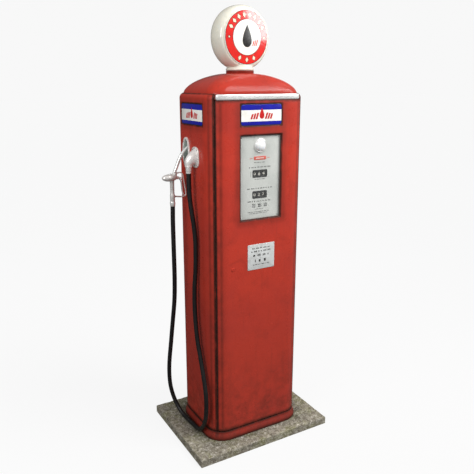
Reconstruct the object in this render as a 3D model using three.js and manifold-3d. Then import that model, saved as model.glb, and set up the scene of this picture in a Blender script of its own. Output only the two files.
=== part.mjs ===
// Computing fuel pump of the tall cabinet kind, standing on a concrete island slab.
// Millimetres, +Z up. The origin is the middle of the slab's underside, the front dial faces -Y,
// and the nozzle and hose hang on the -X side.

import * as THREE from 'three';
import { mergeVertices } from 'three/addons/utils/BufferGeometryUtils.js';
import Module from 'manifold-3d';

const wasm = await Module();
wasm.setup();

// ---------------------------------------------------------------- driving dimensions

const GAP = 0.3; // clearance left between touching pieces
const SHEET = 3; // cabinet sheet thickness

const SLAB_W = 840;
const SLAB_D = 632;
const SLAB_T = 45;
const SLAB_CHAMFER = 7;

// All heights below are above the slab's top face.
const BODY_W = 574;
const BODY_D = 440;
const BODY_R = 102; // vertical corner radius of the cabinet
const SKIRT_H = 50;
const SKIRT_FLARE = 12;
const PANEL_Z0 = 55;
const SHOULDER_Z = 1881; // where the cabinet's top edge starts to roll in
const SHOULDER_R = 27;
const SEAM = 6; // gap between a door and the side panels

const TRIM_Z0 = 1876;
const TRIM_Z1 = 1904;
const DOOR_Z1 = TRIM_Z0 - 1;

const DOME_INSET = 21;
const DOME_Z0 = 1903;
const COLLAR_R = 73;
const COLLAR_Z0 = 2004;
const COLLAR_Z1 = 2019;

const GLOBE_Z = 2180;
const GLOBE_R = 161;
const GLOBE_HALF = 54; // half thickness at the lens seats
const LENS_R = 134;
const GLOBE_TURN = THREE.MathUtils.degToRad(5); // the globe sits a little off square

const AD_W = 246;
const AD_Z0 = 1749;
const AD_Z1 = 1857;
const AD_R = 15;

const DIAL_W = 247;
const DIAL_Z0 = 1265;
const DIAL_Z1 = 1703;
const DIAL_MID = (DIAL_Z0 + DIAL_Z1) / 2;
const DIAL_R = 6;
const DIAL_RECESS = 14;
const SIGHT_Z = 1648;
const SALE_Z = 1504; // centre heights of the three counter windows
const VOLUME_Z = 1394;
const PRICE_Z = 1336;
const WHEEL_R = 32;
const WHEEL_W = 26;
const PRICE_R = 22;
const SHAFT_R = 4;

const NOZZLE_Y = 62; // the plane that the hung nozzle lies in
const BOOT = { y: NOZZLE_Y, z: 1603, halfW: 40, halfH: 80, wall: 3, rim: 12, stand: 10, depth: 52 };
const OUTLET_X = -329; // the outlet's neck, and the hose's upper end
const OUTLET_Y = -42;
const OUTLET = { z: 1588, flangeW: 80, flangeH: 108, flangeT: 7 };
const HOSE_R = 12.5;

const HALF_W = BODY_W / 2;
const HALF_D = BODY_D / 2;
const CORNER_X = HALF_W - BODY_R; // centres of the cabinet's corner arcs
const CORNER_Y = HALF_D - BODY_R;

// ---------------------------------------------------------------- materials

const paint = (color, roughness, metalness = 0) =>
  new THREE.MeshStandardMaterial({ color, roughness, metalness });

const RED = paint(0xb23a28, 0.4);
const DARK_RED = paint(0x7a2c20, 0.5);
const FRAME_GREY = paint(0x4a4a48, 0.6, 0.4);
const CONCRETE = paint(0x8a8478, 0.95);
const CHROME = paint(0xd8dcdc, 0.25, 1);
const CAST = paint(0x9a9590, 0.45, 0.8);
const DIAL_GREY = paint(0xc0c4c0, 0.5);
const BLACK = paint(0x151515, 0.5);
const GLASS = paint(0xf4f4f0, 0.1);
const GLOBE_CREAM = paint(0xe4e0cc, 0.35);
const RUBBER = paint(0x161414, 0.6);
const BRASS = paint(0xa88a4c, 0.4, 0.9);

// ---------------------------------------------------------------- geometry helpers

const V = (x, y, z) => new THREE.Vector3(x, y, z);
const ordered = (a, b) => [Math.min(a, b), Math.max(a, b)];

function bare(geometry) {
  const copy = geometry.index ? geometry.toNonIndexed() : geometry.clone();
  copy.deleteAttribute('normal');
  copy.deleteAttribute('uv');
  return mergeVertices(copy, 1e-3);
}

function toSolid(geometry) {
  const merged = bare(geometry);
  return new wasm.Manifold(new wasm.Mesh({
    numProp: 3,
    vertProperties: new Float32Array(merged.attributes.position.array),
    triVerts: new Uint32Array(merged.index.array),
  }));
}

function fromSolid(solid) {
  const mesh = solid.getMesh();
  const geometry = new THREE.BufferGeometry();
  geometry.setAttribute('position', new THREE.BufferAttribute(new Float32Array(mesh.vertProperties), 3));
  geometry.setIndex(new THREE.BufferAttribute(new Uint32Array(mesh.triVerts), 1));
  return geometry;
}

const join = (first, ...others) =>
  fromSolid(others.reduce((sum, other) => sum.add(toSolid(other)), toSolid(first)));

const cut = (first, ...others) =>
  fromSolid(others.reduce((rest, other) => rest.subtract(toSolid(other)), toSolid(first)));

const common = (first, second) => fromSolid(toSolid(first).intersect(toSolid(second)));

function box(x0, x1, y0, y1, z0, z1) {
  const geometry = new THREE.BoxGeometry(x1 - x0, y1 - y0, z1 - z0);
  return geometry.translate((x0 + x1) / 2, (y0 + y1) / 2, (z0 + z1) / 2);
}

// A cylinder between two values along one axis, centred on the two other coordinates.
function rod(axis, radius, from, to, u, v, sides = 24) {
  const geometry = new THREE.CylinderGeometry(radius, radius, to - from, sides);
  const middle = (from + to) / 2;
  if (axis === 'x') return geometry.rotateZ(-Math.PI / 2).translate(middle, u, v);
  if (axis === 'y') return geometry.translate(u, middle, v);
  return geometry.rotateX(Math.PI / 2).translate(u, v, middle);
}

// A turned piece: the profile is [radius, distance along the axis], turned about +Z.
function turned(profile, sides = 32) {
  const points = profile.map(([r, z]) => new THREE.Vector2(r, z));
  return new THREE.LatheGeometry(points, sides).rotateX(Math.PI / 2);
}

// A solid or a closed ring through outlines that all have the same number of points.
function skin(outlines, closed = false) {
  const n = outlines[0].length;
  const positions = outlines.flat().flatMap((p) => [p.x, p.y, p.z]);
  const faces = [];
  const last = closed ? outlines.length : outlines.length - 1;
  for (let i = 0; i < last; i += 1) {
    const low = i * n;
    const high = ((i + 1) % outlines.length) * n;
    for (let j = 0; j < n; j += 1) {
      const k = (j + 1) % n;
      faces.push(low + j, low + k, high + k, low + j, high + k, high + j);
    }
  }
  if (!closed) {
    for (const [row, flip] of [[0, true], [outlines.length - 1, false]]) {
      const middle = new THREE.Vector3();
      outlines[row].forEach((p) => middle.addScaledVector(p, 1 / n));
      const hub = positions.length / 3;
      positions.push(middle.x, middle.y, middle.z);
      for (let j = 0; j < n; j += 1) {
        const a = row * n + j;
        const b = row * n + ((j + 1) % n);
        faces.push(hub, ...(flip ? [b, a] : [a, b]));
      }
    }
  }
  const geometry = new THREE.BufferGeometry();
  geometry.setAttribute('position', new THREE.Float32BufferAttribute(positions, 3));
  geometry.setIndex(faces);
  return geometry;
}

// The outline of a rectangle with round corners, counter-clockwise from above.
function roundedOutline(halfW, halfD, radius, z, steps = 5) {
  const points = [];
  for (let corner = 0; corner < 4; corner += 1) {
    const sx = corner === 0 || corner === 3 ? 1 : -1;
    const sy = corner < 2 ? 1 : -1;
    for (let i = 0; i <= steps; i += 1) {
      const angle = (corner + i / steps) * (Math.PI / 2);
      points.push(V(
        sx * (halfW - radius) + radius * Math.cos(angle),
        sy * (halfD - radius) + radius * Math.sin(angle),
        z,
      ));
    }
  }
  return points;
}

const bodyOutline = (inset, z) =>
  roundedOutline(HALF_W - inset, HALF_D - inset, BODY_R - inset, z);

// A rectangle with round corners, centred on its own origin.
function roundedShape(w, h, radius) {
  const shape = new THREE.Shape();
  const x = w / 2 - radius;
  const y = h / 2 - radius;
  shape.absarc(x, y, radius, 0, Math.PI / 2, false);
  shape.absarc(-x, y, radius, Math.PI / 2, Math.PI, false);
  shape.absarc(-x, -y, radius, Math.PI, Math.PI * 1.5, false);
  shape.absarc(x, -y, radius, Math.PI * 1.5, Math.PI * 2, false);
  return shape;
}

// A shape drawn in (X, Z), extruded along Y from y0 to y1.
function plateY(shape, y0, y1, x, z) {
  const options = { depth: y1 - y0, bevelEnabled: false, curveSegments: 3 };
  const geometry = new THREE.ExtrudeGeometry(shape, options);
  return geometry.rotateX(Math.PI / 2).translate(x, y1, z);
}

// A shape drawn in (Y, Z), extruded along X from x0 to x1.
function plateX(shape, x0, x1, y, z, segments = 3) {
  const options = { depth: x1 - x0, bevelEnabled: false, curveSegments: segments };
  const geometry = new THREE.ExtrudeGeometry(shape, options);
  return geometry.rotateZ(Math.PI / 2).rotateY(Math.PI / 2).translate(x0, y, z);
}

// A bar of constant section that follows a smooth path.
function along(points, shape, steps, tension = 0.5) {
  const path = new THREE.CatmullRomCurve3(points, false, 'catmullrom', tension);
  const options = { steps, bevelEnabled: false, extrudePath: path, curveSegments: 3 };
  return new THREE.ExtrudeGeometry(shape, options);
}

function roundSection(radius, sides) {
  const shape = new THREE.Shape();
  for (let i = 0; i < sides; i += 1) {
    const angle = (i / sides) * Math.PI * 2;
    const x = radius * Math.cos(angle);
    const y = radius * Math.sin(angle);
    if (i === 0) shape.moveTo(x, y);
    else shape.lineTo(x, y);
  }
  shape.closePath();
  return shape;
}

// A straight-sided pipe with round bends at its corners.
function pipe(corners, radius, bend, sides = 8) {
  const path = new THREE.CurvePath();
  const towards = (from, to) => from.clone().addScaledVector(to.clone().sub(from).normalize(), bend);
  let start = corners[0];
  for (let i = 1; i < corners.length - 1; i += 1) {
    const before = towards(corners[i], corners[i - 1]);
    const after = towards(corners[i], corners[i + 1]);
    path.add(new THREE.LineCurve3(start, before));
    path.add(new THREE.QuadraticBezierCurve3(before, corners[i], after));
    start = after;
  }
  path.add(new THREE.LineCurve3(start, corners[corners.length - 1]));
  const steps = Math.ceil(path.getLength() / 50) + corners.length * 2;
  const options = { steps, bevelEnabled: false, extrudePath: path };
  return new THREE.ExtrudeGeometry(roundSection(radius, sides), options);
}

const root = new THREE.Group();
const pump = new THREE.Group(); // everything that stands on the slab
pump.position.z = SLAB_T;
root.add(pump);

function add(name, geometry, material, parent = pump) {
  const mesh = new THREE.Mesh(geometry, material);
  mesh.name = name;
  parent.add(mesh);
  return mesh;
}

// ---------------------------------------------------------------- slab and frame

const SUCTION = { x: -130, y: 60 }; // where the underground line comes up
const PIPE_R = 24;

function concreteSlab() {
  const c = SLAB_CHAMFER;
  const outline = (inset, z) => roundedOutline(SLAB_W / 2 - inset, SLAB_D / 2 - inset, c + 1, z, 2);
  const block = skin([outline(0, 0), outline(0, SLAB_T - c), outline(c, SLAB_T)]);
  return cut(block, rod('z', PIPE_R + 8, -1, SLAB_T + 1, SUCTION.x, SUCTION.y));
}

function baseSkirt() {
  const flange = 62;
  const plate = 6;
  return skin([
    bodyOutline(-SKIRT_FLARE, GAP),
    bodyOutline(-SKIRT_FLARE, 8),
    bodyOutline(-SKIRT_FLARE / 3, SKIRT_H - 6),
    bodyOutline(0, SKIRT_H),
    bodyOutline(6, SKIRT_H),
    bodyOutline(6, plate),
    bodyOutline(flange, plate),
    bodyOutline(flange, GAP),
  ], true);
}

const POST = { leg: 38, thick: 4, x: 230, y: 163, z0: 6 + GAP, z1: DOOR_Z1 + 3 };

function cornerPost(sx, sy) {
  const { leg, thick, x, y, z0, z1 } = POST;
  const shape = new THREE.Shape();
  shape.moveTo(x, y);
  shape.lineTo(x - leg, y);
  shape.lineTo(x - leg, y - thick);
  shape.lineTo(x - thick, y - thick);
  shape.lineTo(x - thick, y - leg);
  shape.lineTo(x, y - leg);
  shape.closePath();
  const mirrored = new THREE.Shape(shape.getPoints().map((p) => new THREE.Vector2(sx * p.x, sy * p.y)));
  const geometry = new THREE.ExtrudeGeometry(mirrored, { depth: z1 - z0, bevelEnabled: false });
  return geometry.translate(0, 0, z0);
}

// A door's hinge rod stands in its seam: the front one on the right, the rear one on the left.
const HINGE_R = 2.2;
const HINGE_BACK = (SEAM / 2) * Math.SQRT1_2; // the rod is in the middle of the seam
const HINGE_X = CORNER_X + (BODY_R - 3) * Math.SQRT1_2 - HINGE_BACK;
const HINGE_Y = CORNER_Y + (BODY_R - 3) * Math.SQRT1_2 + HINGE_BACK;

// A post with its door's hinge rod, held by three plates that reach out through the seam.
function hingePost(side) {
  const post = cornerPost(-side, side);
  const hinge = rod('z', HINGE_R, PANEL_Z0 + 2, DOOR_Z1 - 2, -side * HINGE_X, side * HINGE_Y, 10);
  const dx = HINGE_X - POST.x + 2;
  const dy = HINGE_Y - POST.y + 2;
  const length = Math.hypot(dx, dy);
  const plates = [PANEL_Z0 + 60, (PANEL_Z0 + DOOR_Z1) / 2, DOOR_Z1 - 60].map((z) => {
    const plate = new THREE.BoxGeometry(length, 2.4, 50);
    plate.translate(length / 2, 0, 0).rotateZ(Math.atan2(side * dy, -side * dx));
    return plate.translate(-side * (POST.x - 2), side * (POST.y - 2), z);
  });
  return join(post, hinge, ...plates);
}

function topFrame() {
  const z0 = POST.z1 + GAP;
  const z1 = z0 + 6;
  return skin([
    bodyOutline(9, z0),
    bodyOutline(9, z1),
    bodyOutline(64, z1),
    bodyOutline(64, z0),
  ], true);
}

const SHELF_Z = 1228;
const SHELF_T = 4;
const METER_SHAFT = { x: 0, y: 0 };
const RISER_X = -198;
const RISER_R = 19;

function computerShelf() {
  const width = POST.x - 2;
  const depth = POST.y - POST.leg - GAP;
  const plate = box(-width, width, -depth, depth, SHELF_Z, SHELF_Z + SHELF_T);
  const hole = (radius, x, y) => rod('z', radius, SHELF_Z - 1, SHELF_Z + SHELF_T + 1, x, y);
  return cut(plate, hole(14, METER_SHAFT.x, METER_SHAFT.y), hole(RISER_R + 3, RISER_X, OUTLET_Y));
}

add('concrete_slab', concreteSlab(), CONCRETE, root);
add('base_skirt', baseSkirt(), DARK_RED);
add('corner_post_front_left', cornerPost(-1, -1), FRAME_GREY);
add('corner_post_front_right', hingePost(-1), FRAME_GREY);
add('corner_post_rear_left', hingePost(1), FRAME_GREY);
add('corner_post_rear_right', cornerPost(1, 1), FRAME_GREY);
add('top_frame', topFrame(), FRAME_GREY);
add('computer_shelf', computerShelf(), FRAME_GREY);

// ---------------------------------------------------------------- cabinet skins

// The cabinet wall is one rounded tube of sheet, split at the middle of each corner.
function cabinetShell(z0) {
  const shoulder = [];
  const inner = [];
  const steps = 3;
  const small = SHOULDER_R - SHEET;
  const end = Math.acos((SHOULDER_R - DOME_INSET + 2 * GAP) / small); // stops just short of the hood
  for (let i = 0; i <= steps; i += 1) {
    const angle = (i / steps) * end;
    const rise = Math.sin(angle);
    const roll = 1 - Math.cos(angle);
    shoulder.push(bodyOutline(SHOULDER_R * roll, SHOULDER_Z + SHOULDER_R * rise));
    inner.unshift(bodyOutline(SHEET + small * roll, SHOULDER_Z + small * rise));
  }
  return skin([bodyOutline(0, z0), ...shoulder, ...inner, bodyOutline(SHEET, z0)], true);
}

// The wedge-ended block that holds one side of the cabinet: side +1 or -1 along X.
function sideRegion(side, z0, z1) {
  const far = 2 * BODY_R;
  const shape = new THREE.Shape();
  shape.moveTo(side * (CORNER_X - 40), -(CORNER_Y - 40));
  shape.lineTo(side * (CORNER_X + far), -(CORNER_Y + far));
  shape.lineTo(side * (CORNER_X + far), CORNER_Y + far);
  shape.lineTo(side * (CORNER_X - 40), CORNER_Y - 40);
  shape.closePath();
  const depth = z1 - z0;
  return new THREE.ExtrudeGeometry(shape, { depth, bevelEnabled: false }).translate(0, 0, z0);
}

// The same for a door, drawn back by the seam: side -1 is the front, +1 the rear.
function doorRegion(side, z0, z1) {
  const far = 2 * BODY_R;
  const back = SEAM * Math.SQRT2;
  const shape = new THREE.Shape();
  shape.moveTo(-(CORNER_X - 40), side * (CORNER_Y - 40 + back));
  shape.lineTo(CORNER_X - 40, side * (CORNER_Y - 40 + back));
  shape.lineTo(CORNER_X + far, side * (CORNER_Y + far + back));
  shape.lineTo(-(CORNER_X + far), side * (CORNER_Y + far + back));
  shape.closePath();
  const depth = z1 - z0;
  return new THREE.ExtrudeGeometry(shape, { depth, bevelEnabled: false }).translate(0, 0, z0);
}

function ovalShape(halfW, halfH) {
  const shape = new THREE.Shape();
  shape.absellipse(0, 0, halfW, halfH, 0, Math.PI * 2, false);
  return shape;
}

const TOP = 2100; // above every cabinet skin

function sidePanel(side) {
  const wall = common(cabinetShell(PANEL_Z0), sideRegion(side, PANEL_Z0 - 1, TOP));
  const x0 = side * HALF_W - 20;
  const x1 = side * HALF_W + 20;
  const adHole = plateX(roundedShape(AD_W, AD_Z1 - AD_Z0, AD_R), x0, x1, 0, (AD_Z0 + AD_Z1) / 2);
  if (side > 0) return cut(wall, adHole);
  const boot = ovalShape(BOOT.halfW - 6, BOOT.halfH - 6);
  const outletHole = rod('x', PIPE_R, x0, x1, OUTLET_Y, OUTLET.z);
  return cut(wall, adHole, plateX(boot, x0, x1, BOOT.y, BOOT.z, 10), outletHole);
}

// A door: the curved skin with a return flange along each edge.
function door(side) {
  const z0 = PANEL_Z0;
  const z1 = DOOR_Z1;
  const wall = skin([
    bodyOutline(0, z0), bodyOutline(0, z1), bodyOutline(SHEET, z1), bodyOutline(SHEET, z0),
  ], true);
  const rim = skin([
    bodyOutline(0.5, z0), bodyOutline(0.5, z1), bodyOutline(18, z1), bodyOutline(18, z0),
  ], true);
  const region = doorRegion(side, z0 - 1, z1 + 1);
  const flangeCut = doorRegion(side, z0 - 1, z1 + 1).translate(0, side * SHEET * Math.SQRT2, 0);
  const flanges = cut(common(rim, region), flangeCut);
  const shell = join(common(wall, region), flanges);
  const y0 = side * HALF_D - 20;
  const y1 = side * HALF_D + 20;
  const adHole = plateY(roundedShape(AD_W, AD_Z1 - AD_Z0, AD_R), y0, y1, 0, (AD_Z0 + AD_Z1) / 2);
  const dialHole = plateY(roundedShape(DIAL_W, DIAL_Z1 - DIAL_Z0, DIAL_R), y0, y1, 0, DIAL_MID);
  return cut(shell, adHole, dialHole);
}

// The bright bar over a door, wrapped around the cabinet's front corners.
function trimBar(side) {
  const proud = 5;
  const bar = skin([
    bodyOutline(0, TRIM_Z0), bodyOutline(-proud + 1, TRIM_Z0 + 4), bodyOutline(-proud, TRIM_Z0 + 14),
    bodyOutline(-proud + 1, TRIM_Z1 - 4), bodyOutline(0, TRIM_Z1), bodyOutline(6, TRIM_Z1),
    bodyOutline(6, TRIM_Z0),
  ], true);
  return common(bar, doorRegion(side, TRIM_Z0 - 1, TRIM_Z1 + 1));
}

// The crowned top: it grows from the cabinet's outline to the globe's collar.
function topHood() {
  const steps = 6;
  const outer = [];
  const inner = [];
  const ring = (spread, thin) => {
    const w = HALF_W - DOME_INSET - thin;
    const d = HALF_D - DOME_INSET - thin;
    const r = COLLAR_R - thin;
    const halfW = r + (w - r) * spread;
    const halfD = r + (d - r) * spread;
    const corner = r + (BODY_R - DOME_INSET - thin - r) * spread;
    const crown = (COLLAR_Z0 - DOME_Z0) * (1 - spread ** 1.6) ** 0.57;
    return roundedOutline(halfW, halfD, corner, DOME_Z0 + crown - thin * (1 - spread));
  };
  for (let i = 0; i <= steps; i += 1) {
    const spread = Math.cos((i / steps) * (Math.PI / 2));
    outer.push(ring(spread, 0));
    inner.unshift(ring(spread, SHEET));
  }
  const collar = [
    roundedOutline(COLLAR_R, COLLAR_R, COLLAR_R, COLLAR_Z1),
    roundedOutline(COLLAR_R - SHEET, COLLAR_R - SHEET, COLLAR_R - SHEET, COLLAR_Z1),
  ];
  return skin([...outer, ...collar, ...inner], true);
}

function adGlass(side, axis) {
  const margin = 0.6;
  const shape = roundedShape(AD_W - 2 * margin, AD_Z1 - AD_Z0 - 2 * margin, AD_R - margin);
  const middle = (AD_Z0 + AD_Z1) / 2;
  const outer = side * ((axis === 'x' ? HALF_W : HALF_D) - 1.2);
  const inner = outer - side * 4;
  const span = ordered(outer, inner);
  return axis === 'x' ? plateX(shape, ...span, 0, middle) : plateY(shape, ...span, 0, middle);
}

add('left_side_panel', sidePanel(-1), RED);
add('right_side_panel', sidePanel(1), RED);
add('top_hood', topHood(), RED);
add('front_door', door(-1), RED);
add('rear_door', door(1), RED);
add('front_trim_bar', trimBar(-1), CHROME);
add('rear_trim_bar', trimBar(1), CHROME);
add('front_ad_glass', adGlass(-1, 'y'), GLASS);
add('rear_ad_glass', adGlass(1, 'y'), GLASS);
add('left_ad_glass', adGlass(-1, 'x'), GLASS);
add('right_ad_glass', adGlass(1, 'x'), GLASS);

// A quarter-turn latch on the inside of a door. Its cam points up when the door is free, and
// turns outward behind the corner post's leg to hold it.
const LATCH = { x: 168, z: 1010, rodR: 5, headR: 11, headT: 6, camHalfW: 7, camReach: 32, camT: 4 };

function doorLatch(side) {
  const { z, rodR, headR, headT, camHalfW, camReach, camT } = LATCH;
  const x = side * LATCH.x;
  const outer = side * (HALF_D - SHEET - GAP);
  const cam = side * (POST.y - POST.thick - 3 * camT);
  const shaft = ordered(outer, cam);
  const head = ordered(outer, outer - side * headT);
  const tongue = ordered(cam, cam - side * camT);
  return join(
    rod('y', rodR, ...shaft, x, z, 12),
    rod('y', headR, ...head, x, z, 16),
    box(x - camHalfW, x + camHalfW, ...tongue, z - camHalfW - 1, z + camReach),
  );
}

add('front_latch', doorLatch(-1), BRASS);
add('rear_latch', doorLatch(1), BRASS);

// The notice plate on the front door.
const NOTICE = { x: 4, w: 167, z0: 990, z1: 1130, t: 1.4 };

function noticePlate() {
  const y1 = -HALF_D - GAP;
  const shape = roundedShape(NOTICE.w, NOTICE.z1 - NOTICE.z0, 3);
  return plateY(shape, y1 - NOTICE.t, y1, NOTICE.x, (NOTICE.z0 + NOTICE.z1) / 2);
}

add('notice_plate', noticePlate(), CHROME);

// ---------------------------------------------------------------- dials and computer

const DIAL_Y = HALF_D - DIAL_RECESS; // front face of a dial plate, from the middle
const BEZEL_WALL = 4;
const SIGHT_HOLE_R = 41; // in the dial's pane, around the sight glass

function dialBezel(side) {
  const h = DIAL_Z1 - DIAL_Z0;
  const [y0, y1] = ordered(side * (HALF_D + 2), side * (DIAL_Y + 2));
  const frame = plateY(roundedShape(DIAL_W - 0.8, h - 0.8, DIAL_R - 0.4), y0, y1, 0, DIAL_MID);
  const inner = roundedShape(DIAL_W - 2 * BEZEL_WALL, h - 2 * BEZEL_WALL, DIAL_R / 2);
  return cut(frame, plateY(inner, y0 - 1, y1 + 1, 0, DIAL_MID));
}

function dialGlass(side) {
  const wall = BEZEL_WALL + 0.4;
  const [y0, y1] = ordered(side * (DIAL_Y + 5), side * (DIAL_Y + 8));
  const h = DIAL_Z1 - DIAL_Z0;
  const outline = roundedShape(DIAL_W - 2 * wall, h - 2 * wall, DIAL_R / 2);
  const pane = plateY(outline, y0, y1, 0, DIAL_MID);
  return cut(pane, rod('y', SIGHT_HOLE_R, y0 - 1, y1 + 1, 0, SIGHT_Z, 28));
}

const WINDOW = { w: 88, h: 41 };
const PRICE_WINDOW = { w: 108, h: 26 };
const PLATE_T = 3;

function dialPlate(side) {
  const overlap = 8; // how far the plate runs behind the door's opening
  const halfW = DIAL_W / 2 + overlap;
  const [y0, y1] = ordered(side * DIAL_Y, side * (DIAL_Y - PLATE_T));
  const plate = box(-halfW, halfW, y0, y1, DIAL_Z0 - overlap, DIAL_Z1 + overlap);
  const window = ({ w, h }, z) => box(-w / 2, w / 2, y0 - 1, y1 + 1, z - h / 2, z + h / 2);
  return cut(
    plate,
    window(WINDOW, SALE_Z),
    window(WINDOW, VOLUME_Z),
    window(PRICE_WINDOW, PRICE_Z),
    rod('y', 27, y0 - 1, y1 + 1, 0, SIGHT_Z, 24),
  );
}

// The domed sight glass sits on the dial plate's face and bulges out through the dial's pane.
function sightGlass(side) {
  const profile = [[0, 0.3], [36, 0.3], [36, 5], [30, 7], [25, 16], [12, 22], [0, 23]];
  const hollow = [[0, -1], [25, -1], [25, 8], [20, 14], [9, 18.5], [0, 19]];
  const dome = cut(turned(profile, 18), turned(hollow, 18));
  const upright = dome.rotateX(side < 0 ? Math.PI / 2 : -Math.PI / 2);
  return upright.translate(0, side * DIAL_Y, SIGHT_Z);
}

// The flow indicator: a four-bladed rotor just behind the sight glass.
function flowSpinner() {
  const y0 = -DIAL_Y - 6;
  const y1 = y0 + 5;
  const hub = rod('y', 5, y0 - 3, y1 + 1, 0, SIGHT_Z, 12);
  const blade = () => box(-18, 18, y0, y1, SIGHT_Z - 2, SIGHT_Z + 2);
  const upright = box(-2, 2, y0, y1, SIGHT_Z - 18, SIGHT_Z + 18);
  return join(hub, blade(), upright);
}

const HEAD = { halfW: 116, halfD: 196, z0: 1292, z1: 1568, wall: 5 };
const WHEEL_AXIS = -(DIAL_Y - 2 * PLATE_T - WHEEL_R); // the wheels' rims clear the plate's back
const PRICE_AXIS = -(DIAL_Y - 2 * PLATE_T - PRICE_R);

// The computing head: an open-ended case that carries the shafts of the number wheels.
function computerHead() {
  const { halfW, halfD, z0, z1, wall } = HEAD;
  const outer = box(-halfW, halfW, -halfD, halfD, z0, z1);
  const inner = box(-halfW + wall, halfW - wall, -halfD - 1, halfD + 1, z0 + wall, z1 - wall);
  const web = box(-halfW + 1, halfW - 1, -8, 8, z0 + 90, z1 - 1); // leaves room for the gears under it
  const footHalfD = 100;
  const foot = box(-halfW, halfW, -footHalfD, footHalfD, SHELF_Z + SHELF_T + GAP, z0 + 1);
  const footCut = box(-halfW + wall, halfW - wall, -footHalfD - 1, footHalfD + 1, SHELF_Z, z0 - 1);
  const shafts = [[WHEEL_AXIS, SALE_Z], [WHEEL_AXIS, VOLUME_Z], [PRICE_AXIS, PRICE_Z]]
    .map(([y, z]) => rod('x', SHAFT_R, -halfW + 1, halfW - 1, y, z, 12));
  const shaftHole = rod('z', 14, z0 - 1, z0 + wall + 1, METER_SHAFT.x, METER_SHAFT.y);
  return cut(join(cut(outer, inner), web, cut(foot, footCut), ...shafts), shaftHole);
}

function numberWheel(x0, x1, radius, y, z) {
  return cut(rod('x', radius, x0, x1, y, z, 20), rod('x', SHAFT_R + 0.8, x0 - 1, x1 + 1, y, z, 10));
}

for (const [name, side] of [['front', -1], ['rear', 1]]) {
  add(`${name}_dial_bezel`, dialBezel(side), DARK_RED);
  add(`${name}_dial_glass`, dialGlass(side), GLASS);
  add(`${name}_dial_plate`, dialPlate(side), DIAL_GREY);
  add(`${name}_sight_glass`, sightGlass(side), GLASS);
}
add('flow_spinner', flowSpinner(), BRASS);
add('computer_head', computerHead(), CAST);

['hundreds', 'tens', 'units'].forEach((place, i) => {
  const x0 = (i - 1.5) * (WHEEL_W + 1);
  const x1 = x0 + WHEEL_W;
  add(`sale_wheel_${place}`, numberWheel(x0, x1, WHEEL_R, WHEEL_AXIS, SALE_Z), BLACK);
  add(`volume_wheel_${place}`, numberWheel(x0, x1, WHEEL_R, WHEEL_AXIS, VOLUME_Z), BLACK);
});
add('price_wheels', numberWheel(-52, 52, PRICE_R, PRICE_AXIS, PRICE_Z), DIAL_GREY);

// ---------------------------------------------------------------- pump, motor, meter and pipes

const MOTOR = { x: 125, z: 118, r: 82, y0: -60, y1: 130 };
const PUMP = { x: -130, z: 205, w: 190, y0: -60, y1: 120, z1: 350 };
const BELT = { y0: -92, y1: -76, t: 5 };
const MOTOR_PULLEY_R = 34;
const PUMP_PULLEY_R = 84;

function motor() {
  const { x, z, r, y0, y1 } = MOTOR;
  return join(
    rod('y', r, y0, y1, x, z, 20),
    box(x - 70, x + 70, y0 + 20, y1 - 20, 6 + GAP, z - 40),
    box(x - 35, x + 35, -10, 70, z + 50, z + r + 26),
  );
}

function pulley(radius, x, z, bodyY) {
  const { y0, y1 } = BELT;
  return join(
    rod('y', radius, y0 - 1, y1 + 1, x, z, 20),
    rod('y', radius + 7, y0 - 5, y0 - 0.6, x, z, 20),
    rod('y', radius + 7, y1 + 0.6, y1 + 5, x, z, 20),
    rod('y', 14, y1 + 4, bodyY - GAP, x, z, 10),
  );
}

// The belt's outline: two arcs and the straight runs that touch both pulleys.
function beltOutline(extra) {
  const dx = MOTOR.x - PUMP.x;
  const dz = MOTOR.z - PUMP.z;
  const apart = Math.hypot(dx, dz);
  const line = Math.atan2(dz, dx);
  const lean = Math.acos((PUMP_PULLEY_R - MOTOR_PULLEY_R) / apart);
  const shape = new THREE.Shape();
  shape.absarc(MOTOR.x, MOTOR.z, MOTOR_PULLEY_R + extra, line - lean, line + lean, false);
  shape.absarc(PUMP.x, PUMP.z, PUMP_PULLEY_R + extra, line + lean, line - lean + 2 * Math.PI, false);
  return shape;
}

function driveBelt() {
  const options = { depth: BELT.y1 - BELT.y0, bevelEnabled: false, curveSegments: 9 };
  const outer = new THREE.ExtrudeGeometry(beltOutline(0.8 + BELT.t), options);
  const inner = new THREE.ExtrudeGeometry(beltOutline(0.8), { ...options, depth: BELT.y1 - BELT.y0 + 4 });
  return cut(outer, inner.translate(0, 0, -2)).rotateX(Math.PI / 2).translate(0, BELT.y1, 0);
}

// The pump and air separator casting, with the suction pipe that drops through the slab.
function pumpUnit() {
  const { x, w, y0, y1, z1 } = PUMP;
  return join(
    rod('z', PIPE_R, GAP - SLAB_T, 8, SUCTION.x, SUCTION.y, 20),
    box(x - w / 2, x + w / 2, y0, y1, 70, z1 - 60),
    box(x - w / 2 + 15, x + w / 2 - 15, y0 + 15, y1 - 15, 6 + GAP, 71),
    rod('z', 70, z1 - 61, z1, x, 30, 24),
    rod('y', 60, y0 - 8, y0 + 1, x, PUMP.z, 24),
  );
}

const METER = { x: 0, y: 0, r: 92, z0: 700, z1: 850 };

function flowMeter() {
  const { x, y, r, z0, z1 } = METER;
  const reachY = POST.y - POST.leg - GAP; // the mounting plate spans between the posts
  return join(
    rod('z', r, z0, z1, x, y, 20),
    rod('z', r + 12, z0 + 60, z0 + 74, x, y, 20),
    rod('z', 40, z1 - 1, z1 + 26, x, y, 16),
    box(-POST.x + 2, POST.x - 2, -reachY, reachY, z0 - 12, z0 - 6),
    rod('z', 60, z0 - 7, z0 + 1, x, y, 20),
  );
}

function meterShaft() {
  const z0 = METER.z1 + 26 + GAP;
  return join(
    rod('z', 6, z0, HEAD.z0 + 50, METER_SHAFT.x, METER_SHAFT.y, 12),
    rod('z', 30, HEAD.z0 + 38, HEAD.z0 + 50, METER_SHAFT.x, METER_SHAFT.y, 24),
  );
}

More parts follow.
